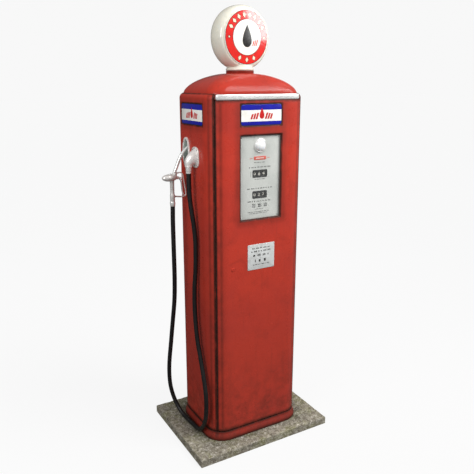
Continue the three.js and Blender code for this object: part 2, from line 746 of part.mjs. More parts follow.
// From the pump's top up into the underside of the meter.
const deliveryPipe = () => pipe([
  V(PUMP.x, 30, PUMP.z1 + GAP), V(PUMP.x, 30, 600), V(-40, 30, 640), V(-40, 30, METER.z0 - 12 - GAP),
], RISER_R, 36);

// From the meter's side up to the outlet on the left panel.
const riserPipe = () => pipe([
  V(METER.x - METER.r - 13, OUTLET_Y, 800), V(RISER_X, OUTLET_Y, 800), V(RISER_X, OUTLET_Y, OUTLET.z),
  V(-HALF_W - GAP + 0.6, OUTLET_Y, OUTLET.z),
], RISER_R, 44);

add('motor', motor(), FRAME_GREY);
add('motor_pulley', pulley(MOTOR_PULLEY_R, MOTOR.x, MOTOR.z, MOTOR.y0), CAST);
add('pump_pulley', pulley(PUMP_PULLEY_R, PUMP.x, PUMP.z, PUMP.y0 - 8), CAST);
add('drive_belt', driveBelt(), RUBBER);
add('pump_unit', pumpUnit(), CAST);
add('flow_meter', flowMeter(), CAST);
add('meter_shaft', meterShaft(), CAST);
add('delivery_pipe', deliveryPipe(), FRAME_GREY);
add('riser_pipe', riserPipe(), FRAME_GREY);

// ---------------------------------------------------------------- globe

function globeBody() {
  const rim = [];
  const steps = 6;
  for (let i = 0; i <= steps; i += 1) {
    const across = Math.cos((i / steps) * Math.PI);
    const swell = (1 - Math.abs(across) ** 2.2) ** 0.5;
    rim.push([LENS_R + 3 + (GLOBE_R - LENS_R - 3) * swell, -GLOBE_HALF * across]);
  }
  const wall = 5;
  const inner = [[LENS_R - 8, GLOBE_HALF], [GLOBE_R - wall - 6, GLOBE_HALF - 22],
    [GLOBE_R - wall, 0], [GLOBE_R - wall - 6, -GLOBE_HALF + 22], [LENS_R - 8, -GLOBE_HALF]];
  const ring = turned([...rim, ...inner, rim[0]], 28).rotateX(Math.PI / 2);
  const foot = turned([[0, COLLAR_Z1 + GAP], [COLLAR_R, COLLAR_Z1 + GAP], [COLLAR_R + 1, COLLAR_Z1 + 7],
    [COLLAR_R - 4, COLLAR_Z1 + 14], [COLLAR_R - 6, COLLAR_Z1 + 26], [0, COLLAR_Z1 + 26]], 20);
  const bore = rod('z', 50, COLLAR_Z1 - 1, COLLAR_Z1 + 60, 0, 0);
  const inside = rod('y', GLOBE_R - wall - 8, -GLOBE_HALF + 24, GLOBE_HALF - 24, 0, 0, 28);
  const footAtGlobe = foot.translate(0, 0, -GLOBE_Z);
  return cut(join(ring, footAtGlobe), inside, bore.translate(0, 0, -GLOBE_Z));
}

function globeLens(side) {
  const profile = [[0, 0], [LENS_R - 6, 0], [LENS_R, 1.5], [LENS_R, 4]];
  for (let i = 1; i <= 3; i += 1) {
    const r = LENS_R * (1 - i / 3);
    profile.push([r, 4 + 9 * (1 - (r / LENS_R) ** 2)]);
  }
  const disc = turned(profile, 28).rotateX(side < 0 ? Math.PI / 2 : -Math.PI / 2);
  return disc.translate(0, side * (GLOBE_HALF + GAP), 0);
}

function globeLamp() {
  const z = COLLAR_Z1 - 40 - GLOBE_Z;
  return turned([[0, z], [24, z], [24, z + 62], [15, z + 74], [20, z + 90], [30, z + 112],
    [30, z + 126], [20, z + 142], [0, z + 147]], 12);
}

const globe = new THREE.Group();
globe.position.z = GLOBE_Z;
globe.rotation.z = GLOBE_TURN;
pump.add(globe);
add('globe_body', globeBody(), GLOBE_CREAM, globe);
add('globe_lens_front', globeLens(-1), GLASS, globe);
add('globe_lens_rear', globeLens(1), GLASS, globe);
add('globe_lamp', globeLamp(), GLASS, globe);

// ---------------------------------------------------------------- outlet, boot, nozzle and hose

function nozzleBoot() {
  const { y, z, halfW, halfH, wall, rim, stand, depth } = BOOT;
  const face = -HALF_W - stand;
  const seat = -HALF_W - GAP;
  const pocketEnd = -HALF_W + depth;
  const plate = (a, b, x0, x1) => plateX(ovalShape(a, b), x0, x1, y, z, 10);
  const body = join(
    plate(halfW, halfH, face, seat),
    plate(halfW - rim + wall, halfH - rim + wall, seat - 1, pocketEnd),
  );
  return cut(body, plate(halfW - rim, halfH - rim, face - 1, pocketEnd - wall));
}

// The outlet casting fans in from its flange on the panel to a round neck that points down.
const NECK = { z: 1546, r: 17, ferruleR: 14, ferruleZ: 1508 };

function outletElbow() {
  const seat = -HALF_W - GAP;
  const { flangeW, flangeH, flangeT, z } = OUTLET;
  const flange = plateX(roundedShape(flangeW, flangeH, 34), seat - flangeT, seat, OUTLET_Y, z, 6);
  const pivotX = seat - flangeT + 1;
  const sides = 14;
  const steps = 5;
  const outlines = [];
  for (let i = 0; i <= steps; i += 1) {
    const t = i / steps;
    const turn = t * (Math.PI / 2);
    const near = 4 + (pivotX - OUTLET_X - NECK.r - 4) * t; // from the pivot to the section's near edge
    const tall = 92 + (2 * NECK.r - 92) * t ** 0.7;
    const wide = 66 + (2 * NECK.r - 66) * t ** 0.8;
    const middle = near + tall / 2;
    const outline = [];
    for (let j = 0; j < sides; j += 1) {
      const angle = (j / sides) * Math.PI * 2;
      const reach = middle + (tall / 2) * Math.cos(angle);
      const y = OUTLET_Y + (wide / 2) * Math.sin(angle);
      outline.push(V(pivotX - reach * Math.sin(turn), y, NECK.z - 8 * (1 - t) + reach * Math.cos(turn)));
    }
    outlines.push(outline);
  }
  const fan = skin(outlines);
  const neck = rod('z', NECK.r, NECK.z - 4, NECK.z + 3, OUTLET_X, OUTLET_Y, 14);
  return join(flange, fan, neck);
}

function outletFerrule() {
  const { z, ferruleR, ferruleZ } = NECK;
  return turned([[0, ferruleZ], [ferruleR, ferruleZ], [ferruleR, z - 14], [ferruleR + 1.6, z - 12],
    [ferruleR + 1.6, z - 5], [0, z - 5]], 14).translate(OUTLET_X, OUTLET_Y, 0);
}

const NOZZLE = { x: -391, z: 1475, gripX: -378, gripZ: 1323 };
const SPOUT_X = -362;
const SPOUT_R = 9.5;

// The valve body with its grip tube and the swivel that the hose screws into.
function nozzleBody() {
  const { x, z, gripX, gripZ } = NOZZLE;
  const valve = new THREE.SphereGeometry(1, 16, 10).scale(43, 22, 19).translate(x, NOZZLE_Y, z);
  const grip = turned([[0, gripZ + GAP], [13, gripZ + GAP], [14, gripZ + 8], [14, gripZ + 22],
    [12.4, gripZ + 26], [13.4, gripZ + 60], [11.6, gripZ + 66], [12, z - 6], [0, z - 6]], 14)
    .translate(gripX, NOZZLE_Y, 0);
  const packing = rod('x', 7.5, x + 30, x + 55, NOZZLE_Y, z - 3, 14);
  const socket = rod('z', 12, z + 2, z + 19.5, SPOUT_X, NOZZLE_Y, 14);
  return join(valve, grip, packing, socket);
}

function nozzleSpout() {
  const base = NOZZLE.z + 20;
  const path = [V(SPOUT_X, 0, base), V(SPOUT_X, 0, base + 8), V(-353, 0, base + 28), V(-340, 0, base + 58),
    V(-324, 0, base + 90), V(-303, 0, base + 117), V(-278, 0, base + 136), V(-254, 0, base + 149)];
  path.forEach((p) => { p.y = NOZZLE_Y; });
  return along(path, roundSection(SPOUT_R, 10), 16);
}

const flatBar = (thick, wide) => {
  const shape = new THREE.Shape();
  shape.moveTo(-thick / 2, -wide / 2);
  shape.lineTo(thick / 2, -wide / 2);
  shape.lineTo(thick / 2, wide / 2);
  shape.lineTo(-thick / 2, wide / 2);
  shape.closePath();
  return shape;
};

function nozzleGuard() {
  const path = [V(-345, 0, 1498), V(-328, 0, 1499), V(-316, 0, 1489), V(-311, 0, 1460), V(-305, 0, 1425),
    V(-300, 0, 1392), V(-303, 0, 1373), V(-322, 0, 1369), V(-345, 0, 1371), V(-363.4, 0, 1374)];
  path.forEach((p) => { p.y = NOZZLE_Y; });
  const bar = along(path, roundSection(3.4, 6), 24);
  const stand = rod('x', 4.5, -350.5, -341, NOZZLE_Y, 1498, 10);
  return cut(join(bar, stand), rod('z', 12.4, 1470, 1500, SPOUT_X, NOZZLE_Y, 14));
}

const LEVER = { x: -330, z: 1463, reach: 84, lean: 14 };

function nozzleLever() {
  const { x, z, reach, lean } = LEVER;
  const side = [V(x, 0, z + 4), V(x + 5, 0, z - 24), V(x + 8, 0, z - 60), V(x + lean, 0, z - reach)];
  side.forEach((p) => { p.y = NOZZLE_Y; });
  return join(along(side, flatBar(13, 3.4), 6), rod('y', 5.5, NOZZLE_Y - 8, NOZZLE_Y + 8, x, z, 12));
}

// The hose's route, from the outlet ferrule down to the slab, along it and up to the nozzle.
const HOSE_ROUTE = [
  V(-329, -42, 1507.7), V(-329, -43, 1440), V(-328, -47, 1372), V(-322, -55, 1300),
  V(-314, -62, 1224), V(-310, -66, 1150), V(-310, -66, 1070), V(-312, -64, 980),
  V(-317, -58, 872), V(-319, -62, 740), V(-318, -80, 604), V(-315, -112, 490),
  V(-314, -144, 390), V(-314, -167, 300), V(-314, -172, 215), V(-314, -160, 135),
  V(-314, -126, 66), V(-315, -74, 22), V(-317, -12, 14), V(-322, 54, 14),
  V(-329, 112, 21), V(-340, 160, 52), V(-354, 189, 104), V(-368, 199, 176),
  V(-377, 192, 258), V(-382, 172, 360), V(-381, 140, 500), V(-378, 112, 640),
  V(-374, 88, 777), V(-375, 74, 899), V(-378, 66, 1024), V(-380, 62, 1134),
  V(-380, 62, 1240), V(-378, 62, 1322.7),
];

add('outlet_elbow', outletElbow(), CAST);
add('outlet_ferrule', outletFerrule(), CAST);
add('nozzle_boot', nozzleBoot(), CAST);
add('nozzle_body', nozzleBody(), CAST);
add('nozzle_spout', nozzleSpout(), CHROME);
add('nozzle_guard', nozzleGuard(), CAST);
add('nozzle_lever', nozzleLever(), CAST);
add('hose', along(HOSE_ROUTE, roundSection(HOSE_R, 8), 66), RUBBER);

export default root;
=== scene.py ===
"""A tall computing fuel pump with a lit globe, on its piece of concrete island.

Metres, +Z up. The front dial faces -Y, and the nozzle and hose hang on the -X side.
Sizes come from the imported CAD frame; each sub-part and each material has its own function.
"""

import math
import random

import bmesh
import bpy
import numpy as np
from mathutils import Matrix, Vector, noise
from mathutils.geometry import delaunay_2d_cdt


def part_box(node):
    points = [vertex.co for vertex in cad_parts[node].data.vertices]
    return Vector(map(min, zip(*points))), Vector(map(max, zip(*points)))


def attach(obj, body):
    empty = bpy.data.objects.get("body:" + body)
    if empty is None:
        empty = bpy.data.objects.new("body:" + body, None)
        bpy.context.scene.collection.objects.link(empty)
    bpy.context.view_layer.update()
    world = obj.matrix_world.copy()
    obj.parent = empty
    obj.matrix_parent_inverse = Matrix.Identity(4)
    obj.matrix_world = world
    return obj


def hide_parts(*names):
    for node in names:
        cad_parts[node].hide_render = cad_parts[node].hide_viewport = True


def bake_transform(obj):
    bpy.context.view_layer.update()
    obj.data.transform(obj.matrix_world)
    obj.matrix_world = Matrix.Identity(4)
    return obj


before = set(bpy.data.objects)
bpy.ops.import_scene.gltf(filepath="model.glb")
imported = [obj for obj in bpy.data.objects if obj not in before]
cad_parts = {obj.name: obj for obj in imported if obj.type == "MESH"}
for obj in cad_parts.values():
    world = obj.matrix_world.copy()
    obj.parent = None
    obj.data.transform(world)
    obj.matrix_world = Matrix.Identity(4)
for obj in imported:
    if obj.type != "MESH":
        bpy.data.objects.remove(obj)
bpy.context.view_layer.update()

# ---------------------------------------------------------------- sizes from the frame

LOW = {name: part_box(name)[0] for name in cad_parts}
HIGH = {name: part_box(name)[1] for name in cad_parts}


def middle(node):
    return (LOW[node] + HIGH[node]) / 2


SLAB_TOP = HIGH["concrete_slab"].z
HALF_W = -LOW["left_side_panel"].x
HALF_D = -LOW["front_door"].y
PANEL_Z0 = LOW["left_side_panel"].z
DOOR_Z1 = HIGH["front_door"].z
HOOD_FOOT = HIGH["left_side_panel"].z
COLLAR_Z = HIGH["top_hood"].z
SHOULDER_R = 0.027  # the roll at the top of a wall
SHOULDER_Z = SLAB_TOP + 1.881
BODY_R = 0.102  # the cabinet's corners, in plan
CORNER_X = HALF_W - BODY_R
CORNER_Y = HALF_D - BODY_R
SEAM = 0.006  # the gap at a door's free edge
SHEET = 0.0016  # the thickness of the steel
ROLL = 0.0042  # the radius of a rolled edge

DIAL_Z0 = LOW["front_dial_bezel"].z - 0.0004
DIAL_Z1 = HIGH["front_dial_bezel"].z + 0.0004
DIAL_MID = (DIAL_Z0 + DIAL_Z1) / 2
DIAL_HALF_H = (DIAL_Z1 - DIAL_Z0) / 2
DIAL_HALF_W = HIGH["front_dial_bezel"].x + 0.0004
DIAL_FACE = -LOW["front_dial_plate"].y
SIGHT_Z = middle("front_sight_glass").z
SALE_Z = middle("sale_wheel_tens").z
VOLUME_Z = middle("volume_wheel_tens").z
PRICE_Z = middle("price_wheels").z
PRICE_ACROSS = (-0.036, 0.0, 0.036)

AD_Z0 = LOW["front_ad_glass"].z - 0.0006
AD_Z1 = HIGH["front_ad_glass"].z + 0.0006
AD_MID = (AD_Z0 + AD_Z1) / 2
AD_HALF_H = (AD_Z1 - AD_Z0) / 2
AD_HALF_W = HIGH["front_ad_glass"].x + 0.0006
AD_R = 0.015

BOOT_HALF_W = (HIGH["nozzle_boot"].y - LOW["nozzle_boot"].y) / 2
BOOT_HALF_H = (HIGH["nozzle_boot"].z - LOW["nozzle_boot"].z) / 2
BOOT_Z = middle("nozzle_boot").z
OUTLET = Vector((-0.329, -0.042, HIGH["hose"].z))
OUTLET_FLANGE_Z = SLAB_TOP + 1.588
NOZZLE_Y = middle("nozzle_spout").y

LENS_R = 0.134
LENS_SEAT = 0.0543  # from the globe's middle
GLOBE_Z = middle("globe_lens_front").z
GLOBE_R = HIGH["globe_body"].z - GLOBE_Z
GLOBE_TURN = math.radians(5)

# ---------------------------------------------------------------- mesh helpers


class Shape:
    """Vertices and faces of one piece, gathered from several closed shells."""

    def __init__(self):
        self.verts = []
        self.faces = []
        self.slots = []

    def add(self, verts, faces):
        base = len(self.verts)
        self.verts += [Vector(v) for v in verts]
        self.faces += [tuple(base + i for i in face) for face in faces]
        self.slots += [0] * len(faces)
        return self

    def join(self, other, slot=None):
        base = len(self.verts)
        self.verts += other.verts
        self.faces += [tuple(base + i for i in face) for face in other.faces]
        self.slots += other.slots if slot is None else [slot] * len(other.faces)
        return self

    def moved(self, matrix):
        out = Shape()
        out.verts = [matrix @ v for v in self.verts]
        out.faces = list(self.faces)
        if matrix.to_3x3().determinant() < 0:
            out.faces = [tuple(reversed(face)) for face in out.faces]
        out.slots = list(self.slots)
        return out

    def shifted(self, x, y, z):
        return self.moved(Matrix.Translation((x, y, z)))


def piece(name, shape, body, materials, replaces=(), smooth=35):
    """Makes the object, puts it on its CAD body and hides the CAD nodes that it stands for."""
    mesh = bpy.data.meshes.new(name)
    mesh.from_pydata([tuple(v) for v in shape.verts], [], shape.faces)
    mesh.polygons.foreach_set("material_index", shape.slots)
    for material in materials if isinstance(materials, (list, tuple)) else [materials]:
        mesh.materials.append(material)
    finish_mesh(mesh, smooth)
    obj = bpy.data.objects.new(name, mesh)
    bpy.context.scene.collection.objects.link(obj)
    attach(obj, body)
    if replaces:
        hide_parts(*replaces)
    return obj


def finish_mesh(mesh, smooth):
    """Welds a mesh, turns its faces outward and shades it smooth up to an angle in degrees."""
    made = bmesh.new()
    made.from_mesh(mesh)
    bmesh.ops.remove_doubles(made, verts=made.verts, dist=1e-6)
    bmesh.ops.recalc_face_normals(made, faces=made.faces)
    made.to_mesh(mesh)
    made.free()
    mesh.shade_smooth()
    mesh.set_sharp_from_angle(angle=math.radians(smooth))


def loft(rows, caps=True, closed=False):
    """A skin through rows of points. caps closes both ends, closed joins the last row to the first."""
    n = len(rows[0])
    faces = []
    count = len(rows) if closed else len(rows) - 1
    for i in range(count):
        low, high = i * n, ((i + 1) % len(rows)) * n
        for j in range(n):
            k = (j + 1) % n
            faces.append((low + j, low + k, high + k, high + j))
    if caps and not closed:
        faces.append(tuple(range(n))[::-1])
        faces.append(tuple((len(rows) - 1) * n + j for j in range(n)))
    return Shape().add([p for row in rows for p in row], faces)


def rounded(half_w, half_d, radius, z, steps=8):
    """A rectangle with round corners, counter-clockwise from above, at one height."""
    points = []
    for corner, (sx, sy) in enumerate(((1, 1), (-1, 1), (-1, -1), (1, -1))):
        for i in range(steps + 1):
            angle = (corner + i / steps) * math.pi / 2
            x = sx * (half_w - radius) + radius * math.cos(angle)
            y = sy * (half_d - radius) + radius * math.sin(angle)
            points.append(Vector((x, y, z)))
    return points


def circle(radius, z, sides=48):
    turn = 2 * math.pi / sides
    return [Vector((radius * math.cos(i * turn), radius * math.sin(i * turn), z)) for i in range(sides)]


def turned(profile, sides=48, closed=False):
    """A turned piece about +Z from (radius, height) pairs; a zero radius closes to a point."""
    rows = [circle(max(r, 1e-5), z, sides) for r, z in profile]
    return loft(rows, caps=not closed, closed=closed)


def rounded_profile(profile, radius, steps=3):
    """A profile whose inner corners are broken by a small radius."""
    out = [profile[0]]
    for before, corner, after in zip(profile, profile[1:], profile[2:]):
        c = Vector(corner)
        a = Vector(before) - c
        b = Vector(after) - c
        cut = min(radius, a.length * 0.45, b.length * 0.45)
        start = c + a.normalized() * cut
        end = c + b.normalized() * cut
        for i in range(steps + 1):
            t = i / steps
            out.append(tuple(start.lerp(c, t).lerp(c.lerp(end, t), t)))
    return out + [profile[-1]]


def soft_turned(profile, radius=0.001, sides=48):
    """A turned piece with its corners broken by a small radius."""
    return turned(rounded_profile(profile, radius), sides)


def tile(w, h, radius, depth, bevel=0.001, steps=6):
    """A plate with round corners and a broken front edge, from z 0 up to depth."""
    def row(inset, z):
        return rounded(w / 2 - inset, h / 2 - inset, max(radius - inset, 1e-4), z, steps)
    rows = [row(0, 0), row(0, depth - bevel)]
    rows += [row(bevel - bevel * math.cos(a), depth - bevel + bevel * math.sin(a))
             for a in (0.5, 1.0, 1.57)]
    return loft(rows)


def bend_path(points, steps=6):
    """A smooth Catmull-Rom line through given points."""
    points = [Vector(p) for p in points]
    ends = [points[0] * 2 - points[1], *points, points[-1] * 2 - points[-2]]
    line = []
    for p0, p1, p2, p3 in zip(ends, ends[1:], ends[2:], ends[3:]):
        for i in range(steps):
            t = i / steps
            line.append(0.5 * (2 * p1 + (p2 - p0) * t + (2 * p0 - 5 * p1 + 4 * p2 - p3) * t ** 2
                               + (3 * p1 - p0 - 3 * p2 + p3) * t ** 3))
    return line + [points[-1]]


def sweep(line, section, caps=True, scale=None):
    """A section, given as (across, up) pairs, carried along a line without twisting."""
    tangents = [(line[min(i + 1, len(line) - 1)] - line[max(i - 1, 0)]).normalized()
                for i in range(len(line))]
    side = tangents[0].orthogonal().normalized() if abs(tangents[0].y) > 0.9 else Vector((0, 1, 0))
    rows = []
    for i, (point, tangent) in enumerate(zip(line, tangents)):
        side = (side - tangent * side.dot(tangent)).normalized()
        up = tangent.cross(side)
        size = scale(i / (len(line) - 1)) if scale else 1.0
        rows.append([point + side * (a * size) + up * (b * size) for a, b in section])
    return loft(rows, caps=caps)


def round_section(radius, sides=16):
    turn = 2 * math.pi / sides
    return [(radius * math.cos(i * turn), radius * math.sin(i * turn)) for i in range(sides)]


def flat_section(wide, thick, sides=24, power=0.45):
    """A flat bar's section with well-rounded edges."""
    points = []
    for i in range(sides):
        c, s = math.cos(2 * math.pi * i / sides), math.sin(2 * math.pi * i / sides)
        points.append((wide / 2 * math.copysign(abs(c) ** power, c),
                       thick / 2 * math.copysign(abs(s) ** power, s)))
    return points


def spun(shape, count):
    """Copies of a shape at even steps around +Z."""
    ring = Shape()
    for i in range(count):
        ring.join(shape.moved(Matrix.Rotation(i * 2 * math.pi / count, 4, "Z")))
    return ring


def along_x(shape):
    """Turns a shape made about +Z so that it lies along +X."""
    return shape.moved(Matrix.Rotation(math.pi / 2, 4, "Y"))


def along_y(shape, side=-1):
    """Turns a shape made about +Z so that it points to the front (-1) or the rear (+1)."""
    return shape.moved(Matrix.Rotation(-side * math.pi / 2, 4, "X"))


FACES = {
    "front": ((1, 0, 0), (0, -1, 0)),
    "rear": ((-1, 0, 0), (0, 1, 0)),
    "left": ((0, -1, 0), (-1, 0, 0)),
    "right": ((0, 1, 0), (1, 0, 0)),
}


def facing(face, depth, across=0.0, height=0.0):
    """Places a shape drawn as (right, up, outward) on a cabinet face, depth metres from the centre."""
    right, out = (Vector(v) for v in FACES[face])
    matrix = Matrix.Identity(4)
    for column, axis in enumerate((right, Vector((0, 0, 1)), out)):
        for row in range(3):
            matrix[row][column] = axis[row]
    matrix.translation = out * depth + right * across + Vector((0, 0, height))
    return matrix


def ring_frame(half_w, half_h, radius, section, steps=6, rise=1.0):
    """A rectangular frame from a closed (outward, forward) section; rise widens its top and bottom."""
    return loft([rounded(half_w + e, half_h + e * rise, max(radius + e, 1e-4), w, steps) for e,
                 w in section],
                closed=True)


def flat_art(outline, thick=0.0003, grid=0.0):
    """A thin printed or stuck-on shape from an outline of (x, y) points."""
    points = [Vector(p) for p in outline]
    n = len(points)
    if grid:
        xs = [p.x for p in points]
        ys = [p.y for p in points]
        for x in np.arange(min(xs) + grid / 2, max(xs), grid):
            for y in np.arange(min(ys) + grid / 2, max(ys), grid):
                points.append(Vector((float(x), float(y))))
    verts, _, faces, *_ = delaunay_2d_cdt(points, [(i, (i + 1) % n) for i in range(n)], [], 1, 1e-7)
    m = len(verts)
    edges = {}
    for face in faces:
        for a, b in zip(face, (*face[1:], face[0])):
            edges[(a, b)] = edges.get((a, b), 0) + 1
    rim = [(a, b) for a, b in edges if (b, a) not in edges]
    shell = [tuple(f) for f in faces]
    shell += [tuple(m + i for i in reversed(f)) for f in faces]
    shell += [(b, a, m + a, m + b) for a, b in rim]
    top = [(v.x, v.y, thick) for v in verts]
    return Shape().add(top + [(v.x, v.y, 0) for v in verts], shell)


def cut_openings(obj, cutters):
    """Cuts closed shapes out of a piece's mesh for good."""
    for shape in cutters:
        mesh = bpy.data.meshes.new("cutter")
        mesh.from_pydata([tuple(v) for v in shape.verts], [], shape.faces)
        finish_mesh(mesh, 30)
        cutter = bpy.data.objects.new("cutter", mesh)
        bpy.context.scene.collection.objects.link(cutter)
        boolean = obj.modifiers.new("cut", "BOOLEAN")
        boolean.operation = "DIFFERENCE"
        boolean.solver = "EXACT"
        boolean.object = cutter
        apply_modifiers(obj)
        bpy.data.objects.remove(cutter)
    obj.data.set_sharp_from_angle(angle=math.radians(30))


def apply_modifiers(obj):
    """Puts the result of a piece's modifiers into its mesh."""
    graph = bpy.context.evaluated_depsgraph_get()
    graph.update()
    mesh = bpy.data.meshes.new_from_object(obj.evaluated_get(graph), depsgraph=graph)
    obj.modifiers.clear()
    obj.data = mesh


def screw(radius, height):
    """A domed screw or rivet head, standing on z 0."""
    profile = [(0, 0), (radius, 0), (radius, height * 0.35), (radius * 0.8, height * 0.75),
               (radius * 0.45, height * 0.97), (0, height)]
    return turned(profile, 20)


def screws_at(radius, height, across, levels):
    """One screw at each meeting of the places across and the levels."""
    heads = Shape()
    for x in across:
        for z in levels:
            heads.join(screw(radius, height).shifted(x, z, 0))
    return heads


def hex_head(radius, height):
    """A hexagon bolt head on a washer, standing on z 0."""
    washer = soft_turned([(0, 0), (radius * 1.35, 0), (radius * 1.35, height * 0.2), (0, height * 0.2)],
                         0.0003, 20)
    rows = [circle(radius, height * 0.2, 6), circle(radius, height * 0.85, 6),
            circle(radius * 0.86, height, 6)]
    return washer.join(loft(rows))


# ---------------------------------------------------------------- material helpers


class Paint:
    """A procedural material: colours, masks, roughness and bump from object coordinates."""

    def __init__(self, name):
        self.material = bpy.data.materials.new(name)
        self.material.use_nodes = True
        self.tree = self.material.node_tree
        self.shader = self.tree.nodes["Principled BSDF"]
        self.place = self.new("ShaderNodeTexCoord").outputs["Object"]
        split = self.new("ShaderNodeSeparateXYZ")
        self.link(self.place, split.inputs[0])
        self.x, self.y, self.z = split.outputs

    def new(self, kind):
        return self.tree.nodes.new(kind)

    def link(self, value, socket):
        if isinstance(value, (int, float)):
            socket.default_value = value
        elif isinstance(value, tuple):
            socket.default_value = (*value, 1.0)[:len(socket.default_value)]
        else:
            self.tree.links.new(value, socket)

    def math(self, kind, a, b=0.0, clamp=False):
        node = self.new("ShaderNodeMath")
        node.operation = kind
        node.use_clamp = clamp
        for value, socket in zip((a, b), node.inputs):
            self.link(value, socket)
        return node.outputs[0]

    def noise(self, scale, detail=5, rough=0.6, stretch=(1, 1, 1), shift=(0, 0, 0), warp=0.0):
        at = self.new("ShaderNodeMapping")
        at.inputs["Scale"].default_value = stretch
        at.inputs["Location"].default_value = shift
        self.link(self.place, at.inputs["Vector"])
        node = self.new("ShaderNodeTexNoise")
        self.link(at.outputs[0], node.inputs["Vector"])
        node.inputs["Scale"].default_value = scale
        node.inputs["Detail"].default_value = detail
        node.inputs["Roughness"].default_value = rough
        node.inputs["Distortion"].default_value = warp
        return node.outputs["Fac"]

    def cells(self, scale, stretch=(1, 1, 1)):
        at = self.new("ShaderNodeMapping")
        at.inputs["Scale"].default_value = stretch
        self.link(self.place, at.inputs["Vector"])
        node = self.new("ShaderNodeTexVoronoi")
        self.link(at.outputs[0], node.inputs["Vector"])
        node.inputs["Scale"].default_value = scale
        return node.outputs["Distance"]

    def band(self, value, low, high, to_low=0.0, to_high=1.0):
        """Maps value from low..high smoothly to to_low..to_high."""
        node = self.new("ShaderNodeMapRange")
        node.interpolation_type = "SMOOTHSTEP"
        self.link(value, node.inputs["Value"])
        node.inputs["From Min"].default_value = low
        node.inputs["From Max"].default_value = high
        node.inputs["To Min"].default_value = to_low
        node.inputs["To Max"].default_value = to_high
        return node.outputs[0]

    def mix(self, amount, a, b):
        node = self.new("ShaderNodeMix")
        node.data_type = "RGBA"
        self.link(amount, node.inputs["Factor"])
        self.link(a, node.inputs[6])
        self.link(b, node.inputs[7])
        return node.outputs[2]

    def bump(self, height, distance, strength=1.0, under=None):
        node = self.new("ShaderNodeBump")
        node.inputs["Distance"].default_value = distance
        node.inputs["Strength"].default_value = strength
        self.link(height, node.inputs["Height"])
        if under is not None:
            self.link(under, node.inputs["Normal"])
        return node.outputs[0]

    def set(self, **values):
        for name, value in values.items():
            self.link(value, self.shader.inputs[name.replace("_", " ")])
        return self.material


def srgb(r, g, b):
    """An 8-bit display colour as the linear colour that shaders take."""
    return tuple((c / 255 / 12.92) if c <= 10 else ((c / 255 + 0.055) / 1.055) ** 2.4 for c in (r, g, b))


def any_of(paint, *masks):
    """The strongest of several masks."""
    total = masks[0]
    for mask in masks[1:]:
        total = paint.math("MAXIMUM", total, mask)
    return total


def all_of(paint, *masks):
    """The product of several masks."""
    total = masks[0]
    for mask in masks[1:]:
        total = paint.math("MULTIPLY", total, mask)
    return total


def rect_distance(paint, across, half_w, z_low, z_high):
    """Distance outside a rectangle that is centred across a face."""
    dx = paint.math("SUBTRACT", paint.math("ABSOLUTE", across), half_w)
    rise = paint.math("ABSOLUTE", paint.math("SUBTRACT", paint.z, (z_low + z_high) / 2))
    dz = paint.math("SUBTRACT", rise, (z_high - z_low) / 2)
    dx, dz = (paint.math("MAXIMUM", d, 0.0) for d in (dx, dz))
    return paint.math("SQRT",
                      paint.math("ADD", paint.math("MULTIPLY", dx, dx), paint.math("MULTIPLY", dz, dz)))


def seam_distance(paint):
    """Distance from the slanted seam at each cabinet corner, in plan."""
    out_x = paint.math("SUBTRACT", paint.math("ABSOLUTE", paint.x), CORNER_X)
    out_y = paint.math("SUBTRACT", paint.math("ABSOLUTE", paint.y), CORNER_Y)
    return paint.math("ABSOLUTE",
                      paint.math("MULTIPLY", paint.math("SUBTRACT", out_x, out_y), math.sqrt(0.5)))


